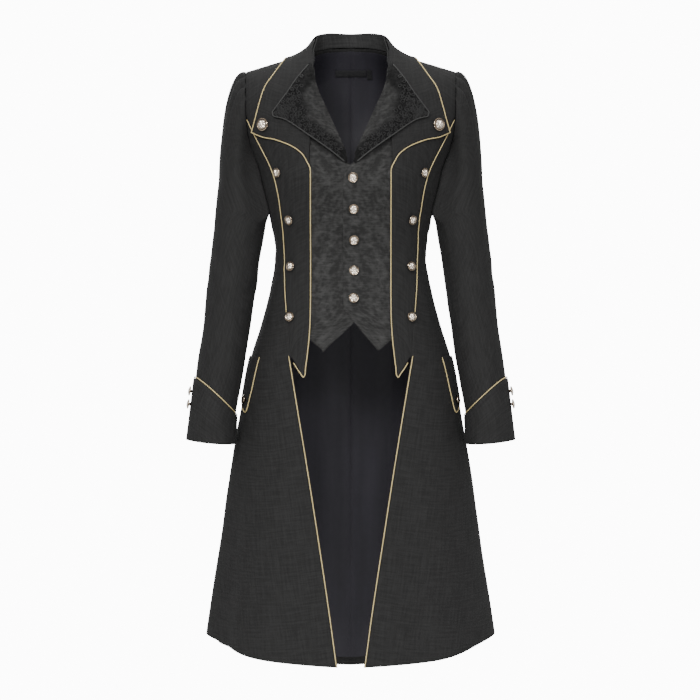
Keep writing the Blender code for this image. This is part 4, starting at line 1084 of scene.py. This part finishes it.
def stand_half():
    """Face of the stand that meets the collar's fall, from the centre back to its front end."""
    front = WING_UPPER[:STAND_FRONT_STATIONS]
    stations = wing_stations(WING_PARTS[:1] + ((front, front_angle),))[:-2]
    rows = []
    for (station, angle_of), row in zip(stations, wing_grid(1)):
        neck_x, neck_drop, rise_x, rise_y, rise_up = station[:5]
        rise = Vector((rise_x, rise_y, rise_up))
        inward = Vector((-row[0].x, NECK_CENTRE_Y - row[0].y, 0)).normalized()
        base = skin(angle_of(neck_x, neck_drop), neck_drop) + rise.normalized() * STAND_BASE_CLEAR
        top = row[0] + inward * STAND_INSET - rise.normalized() * STAND_BELOW
        rows.append([base.lerp(top, share) for share in across(0, 1, STAND_COLUMNS)])
    return rows


def make_stand():
    half = stand_half()
    mirrored = [[Vector((-p.x, p.y, p.z)) for p in row] for row in reversed(half[1:])]
    grid = mirrored + half
    inner = shifted(grid, grid_normals(grid), FINE_CLOTH)
    # The stand wears the lighter copy of the twill: painted light on its shaded face
    cloth("collar_stand", grid, inner, [PAINTED_LIT_STAND_TWILL], "folded")


# Vest fronts and their lapels

def vest_lift(name, x, drop):
    """Lift of a vest front's outer face. The wearer's right front passes under the left one."""
    near = 1 - ease((x - VEST_LAP_START) / VEST_LAP_REACH)
    low = ease((drop - VEST_LAP_DROP) / VEST_LAP_REACH)
    head = VEST_HEAD_DEPTH * (1 - ease((drop - VEST_HEAD_DROP) / VEST_LAP_REACH))
    return -VEST_UNDER - head - (VEST_LAPPED_DEPTH * near * low if name == "right" else 0)


def button_pull(name, x, drop):
    """How far the upper vest front is drawn in round its buttons."""
    if name == "right" or x > PULL_WIDTH:
        return 0.0
    return PULL_DEPTH * sum(exp(-((x - bx) / PULL_WIDTH) ** 2 - ((drop - bd) / PULL_HEIGHT) ** 2)
                            for bx, bd, _ in VEST_BUTTONS)


def point_edge(points, drop):
    """Distance from the centre of the slanted lower edge of a vest front."""
    for (d0, x0), (d1, x1) in zip(points, points[1:]):
        if drop <= d1:
            return mix(x0, x1, max(drop - d0, 0) / (d1 - d0))
    return points[-1][1]


def vest_places(name):
    """Places of a vest front as distance from the centre and drop, from the neck to the points."""
    points = [(drop, x) for drop, x in VEST_POINTS[name]]
    lower = finer([VEST_CLOSING_ROWS[-1]] + [drop for drop, _ in points], PANEL_CELL / 2)[1:]
    rows = [(drop, follow(VEST_NECK_EDGE, drop), VEST_HIDDEN_EDGE)
            for drop in finer(VEST_NECK_ROWS, PANEL_CELL)[:-1]]
    rows += [(drop, follow(VEST_CLOSING_EDGE, drop), VEST_HIDDEN_EDGE)
             for drop in finer(VEST_CLOSING_ROWS, PANEL_CELL)]
    rows += [(drop, point_edge(points, drop), follow(VEST_OUTER_EDGE, drop)) for drop in lower]
    return [[(x, drop) for x in across(first, last, VEST_COLUMNS)] for drop, first, last in rows]


def make_vest():
    for word, side in SIDES:
        outer, inner = grids(vest_places(word), (0, FINE_CLOTH), lambda x, drop, depth: front_skin(
            x, drop, vest_lift(word, x, drop) - button_pull(word, x, drop) - depth, side))
        cloth(f"vest_front_{word}", outer, inner, [JACQUARD, SATIN], "hung",
              side, lined=(0, 0))


def vest_lapel_lift(x, drop):
    """The lapel starts on the vest's edge and climbs over the wing collar it lies on."""
    roll_x = follow(ROLL_LINE, drop)
    neck_x = follow(VEST_NECK_EDGE, drop)
    settled = min(max((drop - VEST_LAPEL_START_DROP) / VEST_LAPEL_SETTLE, 0), 1)
    start = mix(VEST_LAPEL_TOP_START, VEST_LAPEL_LOW, settled)
    climb = ease((x - neck_x) / max(min(roll_x - VEST_LAPEL_LEAD - neck_x, VEST_LAPEL_CLIMB), 2))
    return mix(start, VEST_LAPEL_HIGH, climb) + VEST_LAPEL_RISE * max(x - roll_x, 0)


def lapel_stations():
    stations = refine(VEST_LAPEL_UPPER, VEST_LAPEL_STEPS)
    for table in (VEST_LAPEL_TIP, VEST_LAPEL_LOWER):
        stations += refine(table, VEST_LAPEL_STEPS)[1:]
    return stations


def worked_share(place, stations):
    """How far the ground is covered with thread: fully along the edge and in the corner."""
    away = min((place - Vector((ex, ed))).length for _, _, ex, ed in stations)
    corner = (place - Vector(PALMETTE_MIDDLE)).length
    outside = min((away - BORDER_WIDTH) / BORDER_FADE, (corner - PALMETTE_REACH) / BORDER_FADE)
    return 1 - ease(outside)


def make_vest_lapels():
    stations = lapel_stations()
    places = [[(mix(nx, ex, share), mix(nd, ed, share)) for share in across(0, 1, VEST_LAPEL_COLUMNS)]
              for nx, nd, ex, ed in stations]
    kinds = (("thread", THREAD_RADIUS, THREAD, lapel_scrolls(stations)),
             ("rim", RIM_CORD_RADIUS, RIM_CORD, [lapel_rim(stations)]))
    for word, side in SIDES:
        def point(x, drop, depth):
            return front_skin(x, drop, vest_lapel_lift(x, drop) + depth, side)

        outer, inner = grids(places, (FINE_CLOTH, 0), point)
        piece = cloth(f"vest_lapel_{word}", outer, inner, [LAPEL_SATIN], "folded",
                      side)
        worked = piece.data.attributes.new("worked", "FLOAT", "POINT")
        spots = [Vector((side * corner.co.x, -corner.co.z)) / MM for corner in piece.data.vertices]
        worked.data.foreach_set("value", [worked_share(spot, stations) for spot in spots])
        for kind, radius, finish, lines in kinds:
            paths, = grids(lines, (FINE_CLOTH + THREAD_STANDS,), point)
            cords(f"lapel_{kind}_{word}", paths, radius, finish, side)


# Worked border of the vest lapels: a vine with curls and leaves, sprays, a palmette and a rim cord

def lapel_border(stations):
    """Points along the lapel's outer edge, with the distance run and the way in from the edge."""
    edge = [Vector((ex, ed, 0)) for _, _, ex, ed in stations]
    neck = [Vector((nx, nd, 0)) for nx, nd, _, _ in stations]
    along = run(edge)
    border = []
    for i, (point, inner) in enumerate(zip(edge, neck)):
        ahead = (edge[min(i + 1, len(edge) - 1)] - edge[max(i - 1, 0)]).normalized()
        inward = inner - point
        inward = inward - ahead * inward.dot(ahead)
        border.append((along[i], point, inward.normalized(), inward.length))
    return border


def border_depth(border, at):
    """Distance across the lapel at a run along its edge."""
    return next((depth for along, _, _, depth in border if along >= at), 0.0)


def border_place(border, at, inset):
    """Distance from the centre and drop at a run along the edge and a distance in from it."""
    at = min(max(at, 0.0), border[-1][0])
    for (s0, p0, n0, _), (s1, p1, n1, _) in zip(border, border[1:]):
        if at <= s1:
            t = (at - s0) / max(s1 - s0, TINY)
            place = p0.lerp(p1, t) + n0.lerp(n1, t).normalized() * inset
            return place.x, place.y
    return border[-1][1].x, border[-1][1].y


def curl(at, inset, way, start, radius):
    """A spiral as (run, inset) pairs, wound inward from its start angle. way is 1 or -1."""
    out = []
    for i in range(CURL_POINTS):
        t = i / (CURL_POINTS - 1)
        reach = radius * (1 - CURL_CLOSE * t)
        angle = start + way * CURL_TURNS * 2 * pi * t
        out.append((at + reach * cos(angle), inset + reach * sin(angle)))
    return out


def leaf(at, inset, angle, length=LEAF_LENGTH, width=LEAF_WIDTH):
    """A closed pointed leaf as (run, inset) pairs, with its tip away from its foot."""
    out = []
    for i in range(LEAF_POINTS + 1):
        t = tau * i / LEAF_POINTS
        ahead = length * (1 - cos(t)) / 2
        across_leaf = width * sin(t) * (1 - cos(t)) / 2
        out.append((at + ahead * cos(angle) - across_leaf * sin(angle),
                    inset + ahead * sin(angle) + across_leaf * cos(angle)))
    return out


def lapel_rim(stations):
    """Places of the cord just inside the lapel's outer edge."""
    border = lapel_border(stations)
    first, last = RIM_CORD_ENDS, border[-1][0] - RIM_CORD_ENDS
    return [border_place(border, at, RIM_CORD_INSET) for at in finer((first, last), BORDER_CELL)]


def palmette():
    """Places of a fan of leaves and pairs of curls, which fills the lapel's corner."""
    axis = Vector(PALMETTE_AXIS).normalized()
    aside = Vector((-axis.y, axis.x))
    fan = [leaf(0, 0, turn, length, PALMETTE_WIDTH) for turn, length in PALMETTE_LEAVES]
    fan += [curl(ahead, way * away, way, -way * pi / 2, PALMETTE_CURL)
            for ahead, away in PALMETTE_CURLS for way in (1, -1)]
    foot = Vector(PALMETTE_FOOT)
    return [[tuple(foot + axis * ahead + aside * away) for ahead, away in line] for line in fan]


def vine_figures(first, last):
    """Lines of the border as (run, inset) pairs: the vine, then its curls, leaves and sprays."""
    lines = [[(at, BORDER_MIDDLE + VINE_SWING * sin(tau * (at - first) / VINE_PERIOD))
              for at in across(first, last, round((last - first) / VINE_CELL))]]
    half = VINE_PERIOD / 2
    for i in range(int((last - first) / half)):
        at = first + (i + 0.5) * half
        up = 1 if i % 2 == 0 else -1
        near, far = BORDER_MIDDLE + up * LEAF_ASIDE, BORDER_MIDDLE - up * SIDE_LEAF_ASIDE
        lines += [
            curl(at, BORDER_MIDDLE - up * CURL_INSET, up, -up * pi / 2, CURL_RADIUS),
            leaf(at + half * LEAF_AHEAD, near, up * LEAF_ANGLE),
            leaf(at - half * LEAF_AHEAD, near, pi - up * LEAF_ANGLE),
            leaf(at + half * SIDE_LEAF_AHEAD, far, -up * SIDE_LEAF_ANGLE),
            curl(at + half / 2, SPRAY_INSET, -up, pi / 2, SPRAY_RADIUS),
            leaf(at + half * SPRAY_LEAF_AHEAD, SPRAY_INSET - SPRAY_LEAF_ASIDE, pi / 2 - up * SPRAY_LEAF_TURN),
        ]
    return lines


def thinned(points):
    """The points of a line that are more than a cell apart."""
    kept = [points[0]]
    for point in points[1:]:
        if abs(point[0] - kept[-1][0]) + abs(point[1] - kept[-1][1]) > THREAD_CELL:
            kept.append(point)
    return kept


def lapel_scrolls(stations):
    """Places of the border's threads, without the figures that would reach over the lapel's inner edge."""
    border = lapel_border(stations)
    first, last = BORDER_START, border[-1][0] - BORDER_END

    def fits(at, inset):
        return inset < border_depth(border, at) - SPRAY_CLEAR or first < at < last and inset < BORDER_MIDDLE

    lines = [line for line in vine_figures(first, last) if all(fits(*place) for place in line)]
    placed = [[border_place(border, at, inset) for at, inset in line] for line in lines] + palmette()
    return [line for line in map(thinned, placed) if len(line) > 2]


# Sleeves and cuffs

def armhole_point(turn, side):
    """Point of the armhole seam at a turn round it from the shoulder, forward where it is negative."""
    drop = mix(SHOULDER_DROP, UNDERARM_DROP, (1 - cos(turn)) / 2)
    x = follow(ARMHOLE, drop)
    drop = max(drop, ridge_drop(x))
    angle = back_angle(x, drop) if turn >= 0 else front_angle(x, drop)
    return skin(angle, drop, 0, side)


def arm_centre(drop):
    return Vector((follow(SLEEVE, drop), follow(SLEEVE, drop, 2), -drop))


def sleeve_point(turn, drop, lift=0.0):
    """Point on the sleeve at a turn round it from the outside, in the plane across the arm."""
    half_width, half_depth = follow(SLEEVE, drop, 3), follow(SLEEVE, drop, 4)
    along = (arm_centre(drop + ARM_STEP) - arm_centre(drop - ARM_STEP)).normalized()
    outward = Vector((1, 0, along.x)).normalized()
    backward = outward.cross(along)
    return (arm_centre(drop) + outward * (half_width + lift) * cos(turn)
            + backward * (half_depth + lift) * sin(turn))


def press_turn(turn):
    """One on the part of the sleeve that lies against the body in front of the underarm."""
    away = (turn if turn <= 0 else turn - tau) + PRESS_TURN
    return exp(-(away / PRESS_SPREAD) ** 4)


def sleeve_head_point(turn, point, step):
    """Point on the puffed sleeve head between the armhole and the first level section."""
    top = (1 + cos(turn)) / 2
    start = point + Vector((SLEEVE_CLEAR, 0, 0)) + Vector(SEAM_LAP) * press_turn(turn)
    end = sleeve_point(turn, SLEEVE_TOP_DROP)
    reach = (end - start).length * SLEEVE_HEAD_REACH
    puff = mix(SLEEVE_UNDERARM_STANDS, SLEEVE_HEAD_STANDS, ease(2 * top)) + SLEEVE_HEAD_PUFF * top * top
    rise = SLEEVE_HEAD_RISE * top * top - SLEEVE_HEAD_SINK * (1 - top)
    out = start + Vector((puff, SLEEVE_HEAD_DEPTH * sin(turn), rise))
    above = end + Vector((-SLEEVE_HEAD_LEAN * top, 0, reach))
    rest = 1 - step
    return (start * rest ** 3 + out * 3 * rest * rest * step + above * 3 * rest * step * step
            + end * step ** 3)


def sleeve_rumple(turn, drop, side):
    """How far the sleeve stands off its even form, with creases inside the bend of the elbow."""
    x, y = SLEEVE_REACH * cos(turn), SLEEVE_REACH * sin(turn)
    apart = side * SLEEVE_APART
    lift = SLEEVE_UNEVEN_HEIGHT * noise.noise(Vector((x + apart, y, drop)) / SLEEVE_UNEVEN_SIZE)
    inside = mix(ELBOW_OUTSIDE, 1, ease(0.5 - sin(turn) * ELBOW_TURN))
    bend = exp(-((drop - ELBOW_DROP) / ELBOW_REACH) ** 2) * inside
    place = Vector(((x + apart) / ELBOW_WIDTH, y / ELBOW_WIDTH, (drop + ELBOW_SLANT * y) / ELBOW_PITCH / 2))
    lift += ELBOW_HEIGHT * bend * noise.noise(place)
    return lift * (1 - ease((drop - CUFF_TOP_DROP + CUFF_CALM) / CUFF_CALM))


def press_share(turn, drop, step):
    """Share to which the sleeve is drawn in to the body in front of the underarm."""
    return press_turn(turn) * (1 - ease((drop - PRESS_END) / PRESS_FADE)) * ease(PRESS_RISE * step)


def pressed(point, near):
    """A point of the sleeve, drawn in by this share to stand just clear of the body."""
    drop = -point.z
    if near < SLIGHT:
        return point
    back = mix(point.y, max(point.y, PRESS_FRONT), near)
    share = min(abs(back) / follow(BODY, drop, 2), 1) ** (2 / ROUNDNESS)
    body_x = follow(BODY, drop) * (1 - share) ** (ROUNDNESS / 2) + PRESS_CLEAR
    return Vector((min(point.x, mix(point.x, body_x, near)), back, point.z))


def sleeve_tuck(turn, step):
    """Height of the tucks at the sleeve head, which fade out down the arm and towards the seam."""
    spread = ease((turn - TUCK_START) / TUCK_START) - ease((turn - TUCK_SPREAD) / TUCK_TURN)
    wave = abs(cos(pi * turn / TUCK_TURN)) ** TUCK_EDGE * 2 - TUCK_SET_IN
    return TUCK_HEIGHT * spread * (1 - step) ** TUCK_FALL * ease(TUCK_RISE * step) * wave


def sleeve_grid(side):
    turns = [turn if turn <= pi else turn - tau for turn in turns_round(SLEEVE_COLUMNS)]
    seam = [armhole_point(turn, side) for turn in turns]
    steps = [i / SLEEVE_HEAD_CUTS for i in range(SLEEVE_HEAD_CUTS)]
    rows = [[sleeve_head_point(turn, point, step) for turn, point in zip(turns, seam)] for step in steps]
    drops = across(SLEEVE_TOP_DROP, SLEEVE_END_DROP, SLEEVE_CUTS)
    rows += [[sleeve_point(turn, drop) for turn in turns] for drop in drops]
    near = [[press_share(turn, -p.z, r / SLEEVE_HEAD_CUTS) for p, turn in zip(row, turns)]
            for r, row in enumerate(rows)]
    rows = [[pressed(p, share) for p, share in zip(row, line)] for row, line in zip(rows, near)]
    normals = grid_normals(rows, ring=True)
    for r, row in enumerate(rows):
        step = r / SLEEVE_HEAD_CUTS
        for c, turn in enumerate(turns):
            lift = sleeve_rumple(turn, -row[c].z, side) * min(step, 1) * (1 - near[r][c])
            if 0 < step < 1:
                lift += sleeve_tuck(abs(turn), step)
            row[c] = row[c] + normals[r][c] * lift
    return rows


def cuff_bottom(turn):
    """Drop of the cuff's lower edge, which hangs lower in front."""
    return CUFF_BOTTOM_DROP + CUFF_FRONT_FALL * ((1 - sin(turn)) / 2) ** 3


def cuff_drop(turn, share):
    """Drop on the cuff at a share of its depth. Its top edge rises towards the outside of the arm."""
    top = CUFF_TOP_DROP - CUFF_TOP_SWING * cos(turn)
    return mix(top, cuff_bottom(turn), share)


def cuff_face(turn, share, lift):
    return sleeve_point(turn, cuff_drop(turn, share), CUFF_STAND + CUFF_FLARE * share + lift)


def make_sleeves():
    turns = turns_round(SLEEVE_COLUMNS)
    places = [[(turn, share) for turn in turns] for share in across(0, 1, CUFF_CUTS)]
    cuff_outer, cuff_inner = grids(places, (CUFF_CLOTH, 0), cuff_face)
    above = [sleeve_point(turn, cuff_drop(turn, 0) - CUFF_PIPING_RISE, CUFF_STAND + CUFF_CLOTH / 2)
             for turn in turns]
    turn = CUFF_BUTTON_TURN
    top, bottom = cuff_drop(turn, 0), cuff_bottom(turn)
    for word, side in SIDES:
        grid = sleeve_grid(side)
        inner = shifted(grid, grid_normals(grid, ring=True), -CLOTH)
        cloth(f"sleeve_{word}", grid, inner, [TWILL, SATIN], "hung",
              side, True, (0, HEM_FACING))
        cloth(f"cuff_{word}", cuff_outer, cuff_inner, [TWILL], "folded",
              side, True)
        piping(f"cuff_piping_{word}", above, side, closed=True)
        for i, drop in enumerate(CUFF_BUTTONS, start=1):
            share = (drop - top) / (bottom - top)
            place = cuff_face(turn, share, CUFF_CLOTH)
            normal = (place - cuff_face(turn, share, 0)).normalized()
            button(f"cuff_button_{word}_{i}", place, normal, side=side)


# Pocket flaps

def make_flaps():
    columns = refine(FLAP, FLAP_STEPS)
    normals = [skin_normal(angle, bottom) for angle, _, bottom in columns]
    angle, drop = FLAP_BUTTON
    for word, side in SIDES:
        places = [[(at, mix(top, bottom, share)) for at, top, bottom in columns]
                  for share in across(0, 1, FLAP_CUTS)]
        outer, inner = (skin_grid(places, FLAP_LIFT + depth, side) for depth in (CLOTH, 0))
        cloth(f"pocket_flap_{word}", outer, inner, [TWILL, SATIN], "hung",
              side, lined=(0, 0))
        edge = [skin(at, bottom, FLAP_LIFT + CLOTH / 2, side) for at, _, bottom in columns]
        piping(f"flap_piping_{word}", beside(edge, normals, 0, PIPING_RADIUS + SEAM_GAP), side)
        place = skin(angle, drop, FLAP_LIFT + CLOTH, side)
        button(f"flap_button_{word}", place, skin_normal(angle, drop), side=side)


# Piping of the body

def edge_path(table, drops, lift, outward, side):
    """A path beside a seam or an edge of the front."""
    places = [(follow(table, drop), drop) for drop in drops]
    return beside([front_skin(x, drop, 0, side) for x, drop in places],
                  [front_normal(x, drop) for x, drop in places], lift, outward)


def wing_piping_path(side):
    """Along the collar's outer edge to the break, down the front edge and round the tab."""
    grid = wing_grid(side)
    edge, faces = ([row[-1] for row in rows] for rows in (grid, wing_normals(grid)))
    collar = beside(edge, faces, -FINE_CLOTH / 2, -PIPING_RADIUS - SEAM_GAP)
    crossing = [front_skin(x, drop, lift, side) for x, drop, lift in BREAK_CROSSING]
    front = edge_path(FRONT_EDGE, finer(WAIST_ROWS, PANEL_CELL), -CLOTH / 2, PIPING_RADIUS + SEAM_GAP, side)
    tab = [front_skin(x, drop, -CLOTH / 2, side) for x, drop in refine(TAB_PIPING, TAB_STEPS)]
    return collar[:-1] + crossing + front + tab


def make_piping():
    princess_ends = (SIDE_START_DROP,) + ARMHOLE_ROWS + WAIST_ROWS[:-2] + (PRINCESS_PIPING_END,)
    princess_drops = finer(princess_ends, PANEL_CELL)
    hem_drop = follow(HEM, SKIRT_EDGE_TURN)
    skirt_drops = finer((POCKET_DROP,) + SKIRT_ROWS + (hem_drop,), PANEL_CELL)
    lift = PIPING_RADIUS + SEAM_GAP
    for word, side in SIDES:
        piping(f"wing_piping_{word}", wing_piping_path(side), side)
        piping(f"princess_piping_{word}", edge_path(PRINCESS_SEAM, princess_drops, lift, 0, side), side,
               shown=PRINCESS_PIPING_SHOWN)
        piping(f"skirt_piping_{word}", edge_path(SKIRT_EDGE, skirt_drops, lift, -PIPING_RADIUS, side), side)


# Buttons

def button_height(share, turn):
    """Height of a button's face at a share of its radius: beaded rim, groove, and a domed rosette."""
    dome = mix(BUTTON_DOME, BUTTON_SHOULDER, share * share)
    if share > BEAD_INSIDE:
        place = (share - BEAD_INSIDE) / (1 - BEAD_INSIDE)
        bead = 0.5 + 0.5 * cos(BEAD_COUNT * turn)
        return BUTTON_GROOVE + sin(pi * min(place, RIM_END)) * (RIM_HEIGHT + BEAD_HEIGHT * bead)
    if share > ROSETTE_REACH:
        place = (share - ROSETTE_REACH) / (BEAD_INSIDE - ROSETTE_REACH)
        return mix(dome, BUTTON_GROOVE, ease(place))
    centre = exp(-(share / ROSETTE_EYE) ** 2)
    swell = sin(pi * min(share / ROSETTE_REACH, 1)) ** PETAL_SWELL
    petal = abs(cos(PETAL_COUNT / 2 * turn)) ** PETAL_ROUND * swell
    return dome - PETAL_DEPTH + PETAL_DEPTH * PETAL_RISE * max(petal, centre * EYE_RISE)


def button_tone(point, radius):
    """Height above the plain dome in millimetres and share of the radius, as a place on the metal, whose low
    places are coloured as tarnish and painted shade.
    """
    share = min(sqrt(point.x ** 2 + point.y ** 2) / radius, 1)
    dome = mix(BUTTON_DOME, BUTTON_SHOULDER, share * share)
    return (point.z - dome) / MM, share / MM


def button(node, place, normal, radius=BUTTON_RADIUS, side=1):
    """A domed metal button on a shank, that stands for its node."""
    turns = turns_round(BUTTON_SIDES)
    profile = ((SHANK_RADIUS, SHANK_FOOT), (SHANK_RADIUS, SHANK_HEIGHT),
               (radius * BUTTON_BACK_SHARE, BUTTON_BACK), (radius, BUTTON_EDGE))
    rings = [[(r, h, turn) for turn in turns] for r, h in profile]
    rings += [[(radius * share, button_height(share, turn), turn) for turn in turns]
              for share in across(1, 0, BUTTON_RINGS)[:-1]]
    points = [Vector((r * cos(turn), r * sin(turn), h)) for ring in rings for r, h, turn in ring]
    foot, top, base = len(points), len(points) + 1, len(points) - BUTTON_SIDES
    points += [Vector((0, 0, SHANK_FOOT)), Vector((0, 0, button_height(0, 0)))]
    faces = ring_faces(len(rings), BUTTON_SIDES)
    for k in range(BUTTON_SIDES):
        m = (k + 1) % BUTTON_SIDES
        faces += [[foot, m, k], [top, base + k, base + m]]
    corners = [[button_tone(points[i], radius) for i in face] for face in faces]
    stand = normal.to_track_quat("Z", "Y")
    stood = [place + stand @ p for p in points]
    piece = add_mesh(f"{node}_detail", stood, faces, corners, None, [METAL], side, crease=BUTTON_CREASE)
    stand_for(node, piece)


def front_buttons(name, table, depth, side):
    for i, (x, drop, stand) in enumerate(table, start=1):
        button(f"{name}_{i}", front_skin(x, drop, stand - depth, side), front_normal(x, drop), side=side)


def make_buttons():
    for word, side in SIDES:
        grid = wing_grid(side)
        normals = grid_normals(grid)
        places = [(abs(p.x - LAPEL_BUTTON_PLACE[0]) + abs(-p.z - LAPEL_BUTTON_PLACE[1]), r, c)
                  for r, row in enumerate(grid) for c, p in enumerate(row)]
        _, r, c = min(places)
        button(f"lapel_button_{word}", grid[r][c], normals[r][c], LARGE_BUTTON_RADIUS, side)
        front_buttons(f"princess_button_{word}", PRINCESS_BUTTONS, 0, side)
    front_buttons("vest_button", VEST_BUTTONS, VEST_UNDER, 1)


# Stage, lights and camera

def make_floor():
    bpy.ops.mesh.primitive_circle_add(vertices=FLOOR_SIDES, radius=FLOOR_RADIUS, fill_type="NGON",
                                      location=(0, 0, -FLOOR_DROP))
    floor = bpy.context.object
    floor.name = "floor"
    n = Nodes("pale_floor")
    reach = n.add("ShaderNodeVectorMath", {0: n.place}, operation="LENGTH").outputs["Value"]
    n.set(Base_Color=FLOOR_WHITE, Roughness=0.9)
    n.set(Alpha=n.ramp(n.span(reach, 0, 1 / FLOOR_RADIUS), (0.35, 1.0), (0.98, 0.0)))
    floor.data.materials.append(n.material)


def into_scene(name, data, place, turn):
    made = bpy.data.objects.new(name, data)
    bpy.context.scene.collection.objects.link(made)
    made.location, made.rotation_euler = place, turn
    return made


def area_light(name, place, aim, size, power):
    data = bpy.data.lights.new(name, "AREA")
    data.shape = "RECTANGLE"
    data.size, data.size_y = size
    data.energy = power
    ahead = Vector(aim) - Vector(place)
    into_scene(name, data, place, ahead.to_track_quat("-Z", "Y").to_euler())


def make_lights():
    world = bpy.data.worlds.new("studio")
    bpy.context.scene.world = world
    world.use_nodes = True
    tree = world.node_tree
    lit = tree.nodes["Background"]
    seen, ways, up, sky, both, path = (tree.nodes.new(f"ShaderNode{kind}") for kind in (
        "Background", "TexCoord", "SeparateXYZ", "MapRange", "MixShader", "LightPath"))
    for shader, strength in ((lit, WORLD_STRENGTH), (seen, SEEN_STRENGTH)):
        shader.inputs["Color"].default_value = (1, 1, 1, 1)
        shader.inputs["Strength"].default_value = strength
    for name, value in zip(("From Min", "From Max", "To Min", "To Max"), SKY_RANGE):
        sky.inputs[name].default_value = value
    for source, out, target, into in (
            (ways, "Generated", up, 0), (up, "Z", sky, "Value"), (sky, "Result", lit, "Color"),
            (path, "Is Camera Ray", both, "Fac"), (lit, "Background", both, 1),
            (seen, "Background", both, 2), (both, "Shader", tree.nodes["World Output"], "Surface")):
        tree.links.new(source.outputs[out], target.inputs[into])
    for name, place, aim, size, power in LIGHTS:
        area_light(name, place, aim, size, power)


def make_camera():
    data = bpy.data.cameras.new("camera")
    data.sensor_width = SENSOR_WIDTH
    data.lens = SENSOR_WIDTH * CAMERA_DISTANCE / VIEW_WIDTH
    data.clip_end = SEEN_DISTANCE
    place = (CAMERA_X, -CAMERA_DISTANCE, -CAMERA_DROP)
    bpy.context.scene.camera = into_scene("camera", data, place, (radians(90), 0, 0))


make_camera()
TWILL = twill_material("charcoal_twill", TWILL_DARK, TWILL_LIGHT)
# The stand's twill is a lighter copy of the coat's, painted light that stands in for the light its shaded
# face lacks
PAINTED_LIT_STAND_TWILL = twill_material("stand_twill_painted_light", PAINTED_LIT_STAND_DARK, PAINTED_LIT_STAND_LIGHT)
JACQUARD = figured("charcoal_jacquard", JACQUARD_CELL, JACQUARD_DARK, JACQUARD_LIGHT, JACQUARD_ROUGH)
LAPEL_SATIN = figured("charcoal_lapel_satin", LAPEL_CELL, LAPEL_DARK, LAPEL_LIGHT, LAPEL_ROUGH,
                      (BORDER_DARK, BORDER_LIGHT))
THREAD = thread_material("charcoal_thread", THREAD_DARK, THREAD_LIGHT)
RIM_CORD = thread_material("charcoal_rim_cord", RIM_DARK, RIM_LIGHT)
SATIN = satin_material()
LABEL = label_material()
PIPING = piping_material()
METAL = metal_material()

make_panels()
make_lining()
make_wing_collar()
make_stand()
make_vest()
make_vest_lapels()
make_sleeves()
make_flaps()
make_piping()
make_buttons()
make_floor()
make_lights()
